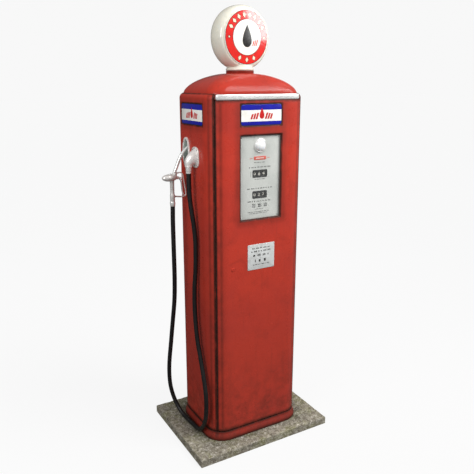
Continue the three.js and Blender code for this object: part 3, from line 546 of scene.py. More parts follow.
def red_enamel(name, openings=(), dark=0.0, seams=1.0, under_trim=0.0, top_edge=0.0, gloss=0.0, shine=0.24,
               collar=0.0):
    """Worn red enamel: mottled reds, painted shade low down and beside the seams, painted shade and dirt in
    seams, creases, joints and round openings, rust pits near the bottom.
    """
    p = Paint(name)
    broad = p.noise(2.6, 3, 0.55)
    patch = p.noise(9.0, 6, 0.65, shift=(3.1, 1.7, 0.4), warp=0.6)
    fine = p.noise(70.0, 6, 0.7)
    streak = p.noise(9.0, 5, 0.6, stretch=(5.0, 5.0, 0.35))
    # Painted shade: the red darkens towards the bottom.
    shade = p.band(p.math("ADD", p.z, p.math("MULTIPLY", broad, 0.5)), 0.5, 2.0, 0.42, 0.0)
    red = p.mix(p.band(broad, 0.35, 0.68), srgb(192, 58, 42), srgb(174, 54, 43))
    red = p.mix(p.band(patch, 0.50, 0.78, 0.0, 0.50), red, srgb(140, 45, 34))
    red = p.mix(p.band(streak, 0.52, 0.80, 0.0, 0.40), red, srgb(134, 46, 35))
    red = p.mix(p.band(fine, 0.55, 0.85, 0.0, 0.35), red, srgb(205, 84, 62))
    red = p.mix(shade, red, srgb(122, 46, 36))
    beside = seam_distance(p)
    # Painted shade and dirt on the rolled edges beside each seam's gap.
    seam = p.band(beside, 0.006, 0.014, seams, 0.0)
    # Painted shade: a darker band on the rounded corner, 20 to 44 mm from the seam.
    crease = all_of(p, p.band(beside, 0.020, 0.030, 0.0, 0.42 * seams),
                    p.band(beside, 0.031, 0.044, 1.0, 0.0))
    # Painted shade: darker within 60 mm of each seam.
    near_seam = p.band(beside, 0.006, 0.060, 0.80 * seams, 0.0)
    # Painted shade along the foot of the walls, over the gap to the skirt.
    foot = all_of(p, p.band(p.z, PANEL_Z0, PANEL_Z0 + 0.026, 1.0, 0.0),
                  p.band(p.z, PANEL_Z0 - 0.012, PANEL_Z0 - 0.006))
    # Darker where the skirt meets the slab.
    ground = p.band(p.z, SLAB_TOP + 0.003, SLAB_TOP + 0.024, 1.0, 0.0)
    # Painted shade: darker on the lower 55 cm of the walls.
    low = p.band(p.z, PANEL_Z0, PANEL_Z0 + 0.55, 0.85, 0.0)
    # Painted shade under the trim bar, in a line where the side panels meet the hood, and on the collar
    # under the globe.
    masks = [seam, crease, foot, ground, p.band(p.z, DOOR_Z1 - 0.020, DOOR_Z1 - 0.001, 0.0, under_trim)]
    masks.append(p.band(p.z, HOOD_FOOT - 0.010, HOOD_FOOT - 0.002, 0.0, top_edge))
    masks.append(p.band(p.z, COLLAR_Z - 0.016, COLLAR_Z - 0.010, 0.0, collar))
    # Painted shade and dirt round the openings: strong on their rolled lips, faint out to 50 mm.
    for across, half_w, z_low, z_high in openings:
        distance = rect_distance(p, p.x if across == "x" else p.y, half_w, z_low, z_high)
        masks.append(p.band(distance, 0.001, 0.014, 0.95, 0.0))
        masks.append(p.band(distance, 0.010, 0.050, 0.35, 0.0))
    # Painted shade and dirt from all these masks, broken up by noise.
    darkening = all_of(p, any_of(p, *masks),
                   p.band(p.noise(26.0, 6, 0.7, stretch=(1, 1, 0.4)), 0.30, 0.56, 0.55, 1.0))
    # Painted shade beside the seams and low down, broken up by noise.
    shade_wash = all_of(p, any_of(p, near_seam, low), p.band(p.noise(14.0, 6, 0.7), 0.38, 0.66))
    pits = all_of(p, p.band(p.cells(150.0), 0.14, 0.26, 1.0, 0.0),
                  p.band(p.noise(11.0, 4, 0.6, shift=(0.3, 5.0, 2.0)), 0.44, 0.58),
                  p.band(p.z, 0.15, 0.62, 1.0, 0.08))
    chips = p.band(p.noise(55.0, 8, 0.75, shift=(7.0, 2.0, 1.0)), 0.66, 0.70)
    chips = all_of(p, chips, p.band(p.noise(4.0, 3, 0.6, shift=(1.0, 9.0, 3.0)), 0.48, 0.66))
    # Painted shade beside the seams and low down.
    colour = p.mix(p.math("MULTIPLY", shade_wash, 0.58), red, srgb(92, 34, 22))
    colour = p.mix(p.math("MULTIPLY", chips, 0.55), colour, srgb(88, 32, 24))
    colour = p.mix(p.math("MULTIPLY", pits, 0.9), colour, srgb(60, 26, 18))
    # Painted shade and dirt in the seams, creases, joints and round openings.
    colour = p.mix(darkening, colour, srgb(58, 25, 16))
    if dark:
        colour = p.mix(dark, colour, srgb(52, 16, 12))
    rough = p.band(p.noise(18.0, 5, 0.65), 0.3, 0.75, 0.24 - gloss, 0.40 - gloss)
    rough = p.math("ADD", rough, p.math("MULTIPLY", any_of(p, darkening, shade_wash), 0.3), clamp=True)
    peel = p.bump(p.noise(420.0, 2, 0.5), 0.0004, 0.12)
    dents = p.bump(p.noise(7.0, 2, 0.45, shift=(0.0, 4.0, 6.0)), 0.010, 0.30, peel)
    worn = p.bump(p.math("SUBTRACT", 1.0, any_of(p, pits, chips, darkening)), 0.0012, 0.45, dents)
    return p.set(Base_Color=colour, Roughness=rough, Normal=worn, Specular_IOR_Level=shine)


def concrete():
    """Rough cast concrete with moss, darker ground close round the cabinet, pale lime specks and dark pits.
    """
    p = Paint("concrete")
    broad = p.noise(5.0, 5, 0.65)
    moss = p.noise(11.0, 8, 0.72, shift=(2.0, 3.0, 0.0), warp=0.8)
    grain = p.noise(120.0, 8, 0.78)
    speck = p.noise(60.0, 6, 0.8, shift=(4.0, 1.0, 2.0))
    stone = p.mix(p.band(broad, 0.32, 0.68), srgb(118, 112, 98), srgb(152, 145, 130))
    stone = p.mix(p.band(p.noise(24.0, 7, 0.75, shift=(6.0, 0, 1.0)), 0.42, 0.66), stone, srgb(100, 92, 82))
    green = p.mix(p.band(grain, 0.35, 0.65), srgb(84, 86, 46), srgb(138, 136, 86))
    colour = p.mix(p.band(moss, 0.44, 0.62, 0.0, 0.62), stone, green)
    blotch = p.noise(42.0, 5, 0.7, shift=(3.0, 5.0, 8.0))
    colour = p.mix(p.band(blotch, 0.50, 0.66, 0.0, 0.55), colour, srgb(186, 182, 170))
    colour = p.mix(p.band(blotch, 0.36, 0.48, 0.50, 0.0), colour, srgb(78, 74, 60))
    # Darker close round the cabinet's foot, fading out over about 10 cm.
    across = p.band(rect_distance(p, p.x, HALF_W, -9, 9), 0.0, 0.10, 1.0, 0.0)
    along = p.band(p.math("SUBTRACT", p.math("ABSOLUTE", p.y), HALF_D), 0.0, 0.09, 1.0, 0.0)
    near_cabinet_dark = all_of(p, across, along, p.band(p.noise(17.0, 6, 0.7), 0.36, 0.62, 0.25, 1.0))
    colour = p.mix(p.math("MULTIPLY", near_cabinet_dark, 0.75), colour, srgb(60, 56, 38))
    colour = p.mix(p.band(grain, 0.50, 0.66, 0.0, 0.55), colour, srgb(196, 192, 180))
    colour = p.mix(p.band(p.noise(150.0, 7, 0.8, shift=(9.0, 3.0, 1.0)), 0.50, 0.66, 0.0, 0.60), colour,
                   srgb(62, 58, 46))
    pale = p.band(speck, 0.54, 0.66)
    colour = p.mix(p.math("MULTIPLY", pale, 0.70), colour, srgb(216, 212, 202))
    dark = p.band(p.noise(75.0, 6, 0.8, shift=(1.0, 8.0, 3.0)), 0.57, 0.68)
    colour = p.mix(p.math("MULTIPLY", dark, 0.75), colour, srgb(50, 46, 36))
    rough = p.band(grain, 0.3, 0.7, 0.82, 0.98)
    height = p.math("ADD", grain, p.math("MULTIPLY", p.noise(34.0, 6, 0.7), 1.4))
    height = p.math("SUBTRACT", height, p.math("MULTIPLY", dark, 0.7))
    return p.set(Base_Color=colour, Roughness=rough, Normal=p.bump(height, 0.0035, 0.8),
                 Specular_IOR_Level=0.25)


def metal(name, bright, dull, low, high, metallic=1.0, grain=90.0, bump=0.0005, darkening=0.25,
          brush=(1, 1, 1)):
    """Bare or plated metal with a fine grain, tarnish patches and settled dirt."""
    p = Paint(name)
    fine = p.noise(grain, 6, 0.65, stretch=brush)
    patch = p.noise(16.0, 6, 0.65, shift=(1.0, 2.0, 3.0))
    colour = p.mix(p.band(patch, 0.38, 0.70), bright, dull)
    dirt = p.band(p.noise(38.0, 7, 0.7, shift=(5.0, 1.0, 0.0)), 0.54, 0.74, 0.0, darkening)
    colour = p.mix(dirt, colour, srgb(62, 52, 44))
    rough = p.math("ADD", p.band(fine, 0.3, 0.7, low, high), p.math("MULTIPLY", dirt, 0.5), clamp=True)
    normal = p.bump(p.math("ADD", fine, p.math("MULTIPLY", patch, 0.6)), bump, 0.4)
    return p.set(Base_Color=colour, Roughness=rough, Normal=normal, Metallic=metallic)


def painted(name, colour, second, low=0.35, high=0.6, bump=0.0004, dirt=0.3, soil=(60, 52, 44), **extra):
    """A painted, printed or moulded surface with slight mottling, wear and dust."""
    p = Paint(name)
    base = p.mix(p.band(p.noise(22.0, 6, 0.65), 0.34, 0.70), srgb(*colour), srgb(*second))
    mask = p.band(p.noise(46.0, 7, 0.72, shift=(2.0, 6.0, 1.0)), 0.50, 0.76, 0.0, dirt)
    base = p.mix(mask, base, srgb(*soil))
    fine = p.noise(260.0, 4, 0.6)
    rough = p.math("ADD", p.band(fine, 0.3, 0.7, low, high), p.math("MULTIPLY", mask, 0.4), clamp=True)
    return p.set(Base_Color=base, Roughness=rough, Normal=p.bump(fine, bump, 0.35), **extra)


def dial_enamel():
    """Light grey enamel, darker towards its edges."""
    p = Paint("dial_enamel")
    base = p.mix(p.band(p.noise(8.0, 5, 0.6), 0.35, 0.68), srgb(197, 199, 194), srgb(184, 187, 182))
    # Darker towards the dial's edges, broken up by noise.
    edge = rect_distance(p, p.x, DIAL_HALF_W - 0.012, DIAL_Z0 + 0.012, DIAL_Z1 - 0.012)
    soil = all_of(p, p.band(edge, 0.0, 0.012), p.band(p.noise(60.0, 6, 0.7), 0.35, 0.65, 0.3, 1.0))
    specks = p.band(p.noise(120.0, 5, 0.7, shift=(2.0, 2.0, 5.0)), 0.64, 0.74, 0.0, 0.35)
    base = p.mix(p.math("MULTIPLY", soil, 0.45), base, srgb(96, 88, 78))
    base = p.mix(specks, base, srgb(120, 114, 106))
    rough = p.band(p.noise(40.0, 4, 0.6), 0.3, 0.7, 0.38, 0.55)
    return p.set(Base_Color=base, Roughness=rough, Normal=p.bump(p.noise(300.0, 3, 0.5), 0.0003, 0.2))


def clear_glass():
    """A thin pane that shows what is behind it, with dust and a soft shine."""
    p = Paint("clear_glass")
    dust = p.band(p.noise(30.0, 6, 0.7), 0.40, 0.80, 0.02, 0.10)
    rough = p.band(p.noise(55.0, 5, 0.6), 0.3, 0.7, 0.04, 0.14)
    return p.set(Base_Color=p.mix(dust, srgb(235, 240, 238), srgb(196, 190, 178)), Roughness=rough,
                 Normal=p.bump(p.noise(12.0, 2, 0.5), 0.0006, 0.2),
                 Alpha=p.math("ADD", p.math("MULTIPLY", dust, 0.4), 0.02))


def milk_glass(name, colour, second):
    """Opal glass with a slight wave and patches of dust."""
    p = Paint(name)
    base = p.mix(p.band(p.noise(6.0, 4, 0.6), 0.35, 0.70), srgb(*colour), srgb(*second))
    dust = p.band(p.noise(45.0, 7, 0.72), 0.52, 0.80, 0.0, 0.30)
    base = p.mix(dust, base, srgb(150, 138, 118))
    rough = p.math("ADD", p.band(p.noise(34.0, 5, 0.6), 0.3, 0.7, 0.16, 0.30),
                   p.math("MULTIPLY", dust, 0.5))
    return p.set(Base_Color=base, Roughness=rough, Normal=p.bump(p.noise(9.0, 3, 0.5), 0.002, 0.25),
                 Subsurface_Weight=0.15, Subsurface_Radius=(0.02, 0.016, 0.012), Coat_Weight=0.4,
                 Coat_Roughness=0.08)


def hose_rubber():
    """Smooth black rubber, scuffed grey where it drags on the slab."""
    p = Paint("hose_rubber")
    scuff = all_of(p, p.band(p.z, SLAB_TOP + 0.02, SLAB_TOP + 0.30, 1.0, 0.15),
                   p.band(p.noise(60.0, 7, 0.75), 0.50, 0.72))
    base = p.mix(p.band(p.noise(14.0, 4, 0.6), 0.35, 0.65), srgb(12, 11, 12), srgb(20, 19, 19))
    base = p.mix(p.math("MULTIPLY", scuff, 0.3), base, srgb(96, 88, 78))
    rough = p.math("ADD", p.band(p.noise(90.0, 5, 0.6), 0.3, 0.7, 0.34, 0.52),
                   p.math("MULTIPLY", scuff, 0.3))
    return p.set(Base_Color=base, Roughness=rough, Normal=p.bump(p.noise(500.0, 3, 0.6), 0.0004, 0.3),
                 Specular_IOR_Level=0.35)


# ---------------------------------------------------------------- materials

AD_OPENING = (AD_HALF_W, AD_Z0, AD_Z1)
FRONT_OPENINGS = (("x", *AD_OPENING), ("x", DIAL_HALF_W, DIAL_Z0, DIAL_Z1))
SIDE_OPENINGS = (("y", *AD_OPENING),)

M = {  # the material that each kind of surface takes
    # door_red paints shade under the trim bar, side_red a line of shade under the hood and hood_red shade
    # on the collar under the globe.
    "door_red": red_enamel("door_red", FRONT_OPENINGS, under_trim=0.8),
    "side_red": red_enamel("side_red", SIDE_OPENINGS, top_edge=0.9, shine=0.19),
    "hood_red": red_enamel("hood_red", dark=0.13, seams=0.0, gloss=0.12, shine=0.15, collar=0.62),
    "skirt_red": red_enamel("skirt_red", dark=0.42, seams=0.5),
    # The dial channel's dark brown is painted shade for its recess.
    "bezel_shade_brown": painted("bezel_shade_brown", (74, 38, 30), (58, 30, 26), dirt=0.6),
    "concrete": concrete(),
    "trim": metal("trim_metal", srgb(248, 248, 246), srgb(230, 231, 229), 0.20, 0.38, 0.55,
                  brush=(0.2, 0.2, 4)),
    "chrome": metal("chrome", srgb(250, 250, 248), srgb(230, 229, 226), 0.14, 0.30, 0.5, darkening=0.3),
    "cast": metal("cast_bright", srgb(250, 247, 244), srgb(228, 221, 216), 0.22, 0.40, 0.35, 60.0, 0.0012,
                  0.4),
    "nozzle": metal("nozzle_cast", srgb(232, 228, 224), srgb(186, 180, 174), 0.24, 0.44, 0.45, 70.0, 0.0010,
                    0.5),
    "brass": metal("brass", srgb(186, 152, 88), srgb(140, 108, 60), 0.25, 0.45, darkening=0.5),
    "steel": metal("shaft_steel", srgb(168, 168, 168), srgb(128, 126, 124), 0.25, 0.42),
    "iron": metal("cast_iron", srgb(84, 84, 84), srgb(58, 56, 54), 0.55, 0.78, 0.4, 80.0, 0.002, 0.6),
    "pipe": metal("pipe_iron", srgb(92, 84, 78), srgb(70, 56, 46), 0.45, 0.7, 0.6, 60.0, 0.001, 0.6),
    "frame": painted("frame_primer", (92, 92, 90), (74, 70, 66), 0.5, 0.7, dirt=0.5, soil=(96, 56, 36)),
    "motor": painted("motor_paint", (58, 66, 64), (46, 50, 50), 0.4, 0.6, dirt=0.5),
    "gasket": painted("gasket", (30, 28, 40), (20, 18, 22), 0.5, 0.7, dirt=0.4),
    "belt": painted("belt_rubber", (26, 25, 25), (38, 36, 35), 0.55, 0.75, dirt=0.5, soil=(92, 86, 80)),
    # Dark brown in the seams' grooves: painted shade and dirt.
    "groove_shade": painted("seam_shade_felt", (64, 30, 21), (46, 22, 16), 0.8, 0.95, dirt=0.4, soil=(34, 20, 14)),
    "hose": hose_rubber(),
    "dial": dial_enamel(),
    "print": painted("print_black", (38, 38, 38), (62, 62, 60), 0.4, 0.6, dirt=0.25, soil=(130, 130, 126)),
    "plaque": painted("plaque_red", (208, 70, 48), (190, 58, 42), 0.3, 0.5, dirt=0.35,
                      soil=(210, 190, 180)),
    "wheel": painted("wheel_black", (12, 12, 13), (20, 19, 19), 0.4, 0.6, dirt=0.2, soil=(52, 50, 46),
                     Specular_IOR_Level=0.25),
    "numeral": painted("numeral_white", (226, 224, 214), (206, 202, 190), 0.4, 0.6, dirt=0.2),
    "price_drum": painted("price_drum", (252, 253, 251), (242, 243, 240), 0.4, 0.6, dirt=0.1),
    "plate": painted("notice_enamel", (210, 213, 212), (196, 198, 196), 0.25, 0.45, dirt=0.35,
                     soil=(128, 112, 96), Metallic=0.15),
    "ad_white": painted("ad_white", (252, 251, 246), (240, 238, 230), 0.10, 0.22, 0.0002, 0.16,
                        (170, 156, 138),
                        Coat_Weight=0.6, Coat_Roughness=0.05),
    "ad_blue": painted("ad_blue", (14, 18, 162), (10, 12, 142), 0.10, 0.22, 0.0002, 0.25, (60, 60, 90),
                       Coat_Weight=0.2, Coat_Roughness=0.05),
    "ad_red": painted("ad_red", (206, 34, 30), (184, 26, 26), 0.12, 0.25, 0.0002, 0.2),
    "glass": clear_glass(),
    # Painted reflection: milky white stands in for the shine on the clear glass dome.
    "sight": milk_glass("sight_glass", (250, 251, 252), (232, 236, 238)),
    "globe": milk_glass("globe_glass", (230, 227, 213), (218, 214, 199)),
    "lens_white": milk_glass("lens_white", (250, 247, 238), (241, 236, 224)),
    "lens_red": painted("lens_red", (232, 34, 24), (214, 28, 20), 0.10, 0.22, 0.0003, 0.2, Coat_Weight=0.6,
                        Coat_Roughness=0.06),
    "lens_black": painted("lens_black", (22, 20, 20), (34, 30, 30), 0.12, 0.25, 0.0003, 0.2),
    "lens_cream": painted("lens_cream", (244, 238, 214), (232, 222, 190), 0.12, 0.25, 0.0003, 0.15),
    "lamp": milk_glass("lamp_glass", (244, 240, 226), (236, 228, 206)),
    "boot_inside": painted("boot_inside", (176, 188, 180), (150, 160, 152), 0.3, 0.5, 0.0005, 0.5,
                           (70, 64, 54)),
}


# ---------------------------------------------------------------- slab and skirt


def jitter(point, scale, amount, seed=0.0):
    """A small push in every direction from smooth noise.

    The noise is unseeded, so the push differs a little from run to run.
    """
    where = point * scale + Vector((seed, seed * 1.7, seed * 0.3))
    return noise.noise_vector(where) * amount


def concrete_slab():
    """A cast slab with a broken top edge, weathered faces, a flat underside and a hole for the pipe."""
    half = Vector((HIGH["concrete_slab"].x, HIGH["concrete_slab"].y))
    hole_x, hole_y, hole_r = -0.130, 0.060, 0.032
    chamfer = 0.006
    step = 0.0085
    rings = [(0.0, z) for z in (0.0, 0.004, 0.012, 0.020, 0.028, 0.036, SLAB_TOP - chamfer)]
    rings += [(chamfer * 0.35, SLAB_TOP - chamfer * 0.35), (chamfer, SLAB_TOP)]
    inset = chamfer + step
    while inset < half.y - 0.004:
        rings.append((inset, SLAB_TOP))
        inset += step
    count_x = 2 * int(half.x / step)
    count_y = 2 * int(half.y / step)
    rows = []
    for inset, z in rings:
        w, d = half.x - inset, half.y - inset
        square = [(w, -d + 2 * d * i / count_y) for i in range(count_y)]
        square += [(w - 2 * w * i / count_x, d) for i in range(count_x)]
        square += [(-w, d - 2 * d * i / count_y) for i in range(count_y)]
        square += [(-w + 2 * w * i / count_x, -d) for i in range(count_x)]
        rows.append([weathered_slab_point(Vector((x, y, z)), half, chamfer) for x, y in square])
    obj = piece("island_slab", loft(rows), "cabinet", M["concrete"], ["concrete_slab"], 60)
    sleeve = turned([(0, -0.01), (hole_r, -0.01), (hole_r, SLAB_TOP + 0.01), (0, SLAB_TOP + 0.01)], 32)
    cut_openings(obj, [sleeve.shifted(hole_x, hole_y, 0)])
    obj.data.shade_smooth()


def weathered_slab_point(point, half, chamfer):
    """Chips along the top edge, a rough face and a slightly wavy side."""
    if point.z < 0.002:
        return point
    edge = min(half.x - abs(point.x), half.y - abs(point.y))
    rough = jitter(point, 55.0, 0.0008) + jitter(point, 170.0, 0.0005, 3.0)
    wave = jitter(point, 9.0, 0.0012, 7.0)
    chip = max(0.0, noise.noise(point * 26.0 + Vector((5, 2, 9))) - 0.12)
    near = max(0.0, 1 - edge / 0.016) * max(0.0, (point.z - 0.020) / 0.025)
    inward = Vector((-math.copysign(1, point.x) if half.x - abs(point.x) < 0.014 else 0,
                     -math.copysign(1, point.y) if half.y - abs(point.y) < 0.014 else 0, -0.9))
    moved = point + rough + wave * 0.5 + inward * (0.004 * chip * near)
    under = abs(moved.x) < HALF_W + 0.014 and abs(moved.y) < HALF_D + 0.014
    top = SLAB_TOP - (0.0002 if under else 0.0)
    moved.z = min(moved.z, top) if edge > chamfer * 0.5 else min(moved.z, SLAB_TOP)
    moved.x = max(-half.x, min(half.x, moved.x))
    moved.y = max(-half.y, min(half.y, moved.y))
    return moved


def body_outline(inset, z, steps=14):
    """The cabinet's outline at one height, moved inward by inset."""
    return rounded(HALF_W - inset, HALF_D - inset, BODY_R - inset, z, steps)


def base_skirt():
    """The flared kick skirt with a rolled top bead and a turned-in foot."""
    z0 = LOW["base_skirt"].z
    z1 = HIGH["base_skirt"].z
    flare = HIGH["base_skirt"].x - HALF_W
    outer = [(-flare + 0.001, z0), (-flare, z0 + 0.002), (-flare, z0 + 0.008)]
    outer += [(-flare * (1 - t) ** 1.4 - 0.0035 * math.sin(math.pi * t), z0 + 0.008 + (z1 - z0 - 0.016) * t)
              for t in (0.2, 0.4, 0.6, 0.8, 0.92)]
    bead = [(-0.0015 + 0.004 * (1 - math.cos(a)) / 2, z1 - 0.005 + 0.005 * math.sin(a))
            for a in (0.1, 0.7, 1.2, 1.57)]
    inner = [(0.006, z1), (0.006, z0 + 0.006), (0.060, z0 + 0.006), (0.060, z0)]
    rows = [body_outline(inset, z) for inset, z in outer + bead + inner]
    piece("base_skirt_shell", loft(rows, closed=True), "cabinet", M["skirt_red"], ["base_skirt"])


# ---------------------------------------------------------------- cabinet sheets


def corner_run(radius, gap, flange, steps=6, arc_steps=10):
    """One corner of a sheet from its flange tip, over the rolled seam edge and on to the flat.

    Points are (along the seam line, across it), from the corner's centre."""
    hub_b = gap + ROLL
    hub_a = math.sqrt((radius - ROLL) ** 2 - hub_b ** 2)
    start = math.atan2(hub_b, hub_a)
    points = [(hub_a - flange, gap), (hub_a - flange / 2, gap)]
    for i in range(steps + 1):
        angle = -math.pi / 2 + (start + math.pi / 2) * i / steps
        points.append((hub_a + ROLL * math.cos(angle), hub_b + ROLL * math.sin(angle)))
    for i in range(1, arc_steps + 1):
        angle = start + (math.pi / 4 - start) * i / arc_steps
        points.append((radius * math.cos(angle), radius * math.sin(angle)))
    return points


def wall_row(face, inset, z, gap, flange, flats):
    """One level of a side panel or door, from one seam flange to the other."""
    right, out = (Vector(v) for v in FACES[face])
    half_wide, half_deep = (CORNER_Y, CORNER_X) if right.y else (CORNER_X, CORNER_Y)
    ends = []
    for hand in (-1, 1):
        centre = right * (hand * half_wide) + out * half_deep
        along = (right * hand + out).normalized()
        across = (out - right * hand).normalized()
        run = corner_run(BODY_R - inset, gap, flange)
        ends.append([centre + along * a + across * b + Vector((0, 0, z)) for a, b in run])
    first, last = ends[0], ends[1][::-1]
    flat = [first[-1].lerp(last[0], i / flats) for i in range(1, flats)]
    return first + flat + last


def sheet(rows, thick):
    """A closed sheet of even thickness behind a grid of points."""
    grid = np.array([[tuple(p) for p in row] for row in rows])
    normal = np.cross(np.gradient(grid, axis=1), np.gradient(grid, axis=0))
    normal /= np.linalg.norm(normal, axis=2, keepdims=True) + 1e-12
    if (normal[..., :2] * grid[..., :2]).sum() < 0:
        normal = -normal
    inner = grid - normal * thick
    r, c = grid.shape[:2]
    faces = []
    for i in range(r - 1):
        for j in range(c - 1):
            quad = (i * c + j, i * c + j + 1, (i + 1) * c + j + 1, (i + 1) * c + j)
            faces.append(quad)
            faces.append(tuple(r * c + k for k in reversed(quad)))
    rim = [j for j in range(c)] + [i * c + c - 1 for i in range(1, r)]
    rim += [(r - 1) * c + j for j in range(c - 2, -1, -1)] + [i * c for i in range(r - 2, 0, -1)]
    for a, b in zip(rim, rim[1:] + rim[:1]):
        faces.append((a, r * c + a, r * c + b, b))
    verts = np.concatenate([grid.reshape(-1, 3), inner.reshape(-1, 3)])
    return Shape().add([Vector(v) for v in verts], faces)


def opening_lip(face, depth, half_w, z0, z1, radius, deep):
    """The rolled-in edge of an opening, from flush with the face to deep behind it."""
    arcs = [(ROLL * (1 - math.sin(a)), -ROLL * (1 - math.cos(a)))
            for a in (0.0, 0.4, 0.8, 1.2, math.pi / 2)]
    back = [(SHEET, -deep), (SHEET, -ROLL - SHEET), (ROLL, -SHEET * 1.2)]
    rows = [rounded(half_w + e, (z1 - z0) / 2 + e, radius + e, w, 8) for e, w in arcs + [(0, -deep)] + back]
    return loft(rows, closed=True).moved(facing(face, depth, 0, (z0 + z1) / 2))


def opening_cutter(face, depth, half_w, z0, z1, radius):
    """The shape that cuts a sheet back to where an opening's lip starts."""
    grown = ROLL - 0.0001
    shape = tile(2 * (half_w + grown), z1 - z0 + 2 * grown, radius + grown, 0.06, 0.0001, 8)
    return shape.moved(facing(face, depth - 0.03, 0, (z0 + z1) / 2))


DENTS = (  # on every wall: across, height, radius and depth
    (-0.060, 0.760, 0.075, 0.0020), (0.090, 0.655, 0.060, 0.0016), (-0.130, 0.985, 0.050, 0.0012),
    (0.045, 0.905, 0.070, -0.0008), (0.150, 1.130, 0.055, 0.0014), (-0.100, 0.420, 0.080, 0.0016),
    (0.020, 0.300, 0.060, 0.0010), (-0.150, 1.430, 0.045, 0.0010), (0.120, 0.480, 0.050, -0.0007),
)


def dent_mesh(mesh, across_axis, outward, mirror=1.0):
    """Pushes the flat of a panel in by shallow dents and a slight overall wave."""
    for v in mesh.vertices:
        across = v.co[across_axis] * mirror
        push = 0.0
        for a, z, radius, depth in DENTS:
            near = ((across - a) ** 2 + (v.co.z - z) ** 2) / radius ** 2
            if near < 1:
                push += depth * (1 - near) ** 2
        edge = 1 - min(1.0, abs(across) / 0.20) ** 4
        push += 0.0007 * edge * noise.noise(Vector((across * 7, v.co.z * 5, outward)))
        depth_axis = 1 - across_axis
        v.co[depth_axis] -= math.copysign(push, v.co[depth_axis])


def door(face):
    """A door's sheet from its bottom to its top edge, with both seam flanges, openings and dents."""
    z0, z1 = PANEL_Z0, DOOR_Z1
    edges = [(0.0030, z0), (0.0009, z0 + 0.0012), (0.0, z0 + 0.004)]
    tops = [(0.0, z1 - 0.004), (0.0009, z1 - 0.0012), (0.0030, z1)]
    count = 78
    mids = [(0.0, z0 + 0.004 + (z1 - z0 - 0.008) * i / count) for i in range(1, count)]
    rows = [wall_row(face, inset, z, SEAM, 0.014, 28) for inset, z in edges + mids + tops]
    node = f"{face}_door"
    obj = piece(node + "_sheet", sheet(rows, SHEET), node, M["door_red"], [node], 40)
    openings = [(AD_HALF_W, AD_Z0, AD_Z1, AD_R), (DIAL_HALF_W, DIAL_Z0, DIAL_Z1, 0.006)]
    cut_openings(obj, [opening_cutter(face, HALF_D, *o) for o in openings])
    lips = [opening_lip(face, HALF_D, *o, 0.010) for o in openings]
    add_shapes(obj, lips)
    dent_mesh(obj.data, 0, 1.0, 1.0 if face == "front" else -1.0)
    weight_normals(obj)


def add_shapes(obj, shapes):
    """Joins more closed shells into a piece's mesh."""
    made = bmesh.new()
    made.from_mesh(obj.data)
    for shape in shapes:
        extra = bpy.data.meshes.new("extra")
        extra.from_pydata([tuple(v) for v in shape.verts], [], shape.faces)
        finish_mesh(extra, 40)
        made.from_mesh(extra)
        bpy.data.meshes.remove(extra)
    made.to_mesh(obj.data)
    made.free()
    obj.data.shade_smooth()
    obj.data.set_sharp_from_angle(angle=math.radians(40))


def weight_normals(obj):
    """Keeps large flats flat beside narrow rolled edges."""
    modifier = obj.modifiers.new("weighted", "WEIGHTED_NORMAL")
    modifier.keep_sharp = True
    modifier.weight = 60


def side_panel(face):
    """A side sheet that rolls over at the top; the left one has the boot's and the outlet's holes."""
    z0 = PANEL_Z0
    foot = [(0.0030, z0), (0.0009, z0 + 0.0012), (0.0, z0 + 0.004)]
    count = 72
    mids = [(0.0, z0 + 0.004 + (SHOULDER_Z - z0 - 0.004) * i / count) for i in range(1, count)]
    end = math.acos(1 - 0.0205 / SHOULDER_R)
    arc = [i / 8 * end for i in range(9)]
    tops = [(SHOULDER_R * (1 - math.cos(a)), SHOULDER_Z + SHOULDER_R * math.sin(a)) for a in arc]
    rows = [wall_row(face, inset, z, 0.0, 0.010, 16) for inset, z in foot + mids + tops]
    node = f"{face}_side_panel"
    obj = piece(node + "_sheet", sheet(rows, SHEET), "cabinet", M["side_red"], [node], 40)
    cutters = [opening_cutter(face, HALF_W, AD_HALF_W, AD_Z0, AD_Z1, AD_R)]
    if face == "left":
        oval = [Vector(((BOOT_HALF_W - 0.007) * math.cos(a), (BOOT_HALF_H - 0.007) * math.sin(a), 0))
                for a in np.linspace(0, 2 * math.pi, 40, endpoint=False)]
        pocket = loft([[p + Vector((0, 0, h)) for p in oval] for h in (-0.03, 0.03)])
        cutters.append(pocket.moved(facing(face, HALF_W, -NOZZLE_Y, BOOT_Z)))
        bore = loft([circle(0.0225, h, 32) for h in (-0.03, 0.03)])
        cutters.append(bore.moved(facing(face, HALF_W, -OUTLET.y, OUTLET_FLANGE_Z)))
    cut_openings(obj, cutters)
    add_shapes(obj, [opening_lip(face, HALF_W, AD_HALF_W, AD_Z0, AD_Z1, AD_R, 0.010)])
    dent_mesh(obj.data, 1, 2.0, 1.0 if face == "right" else -1.0)
    weight_normals(obj)


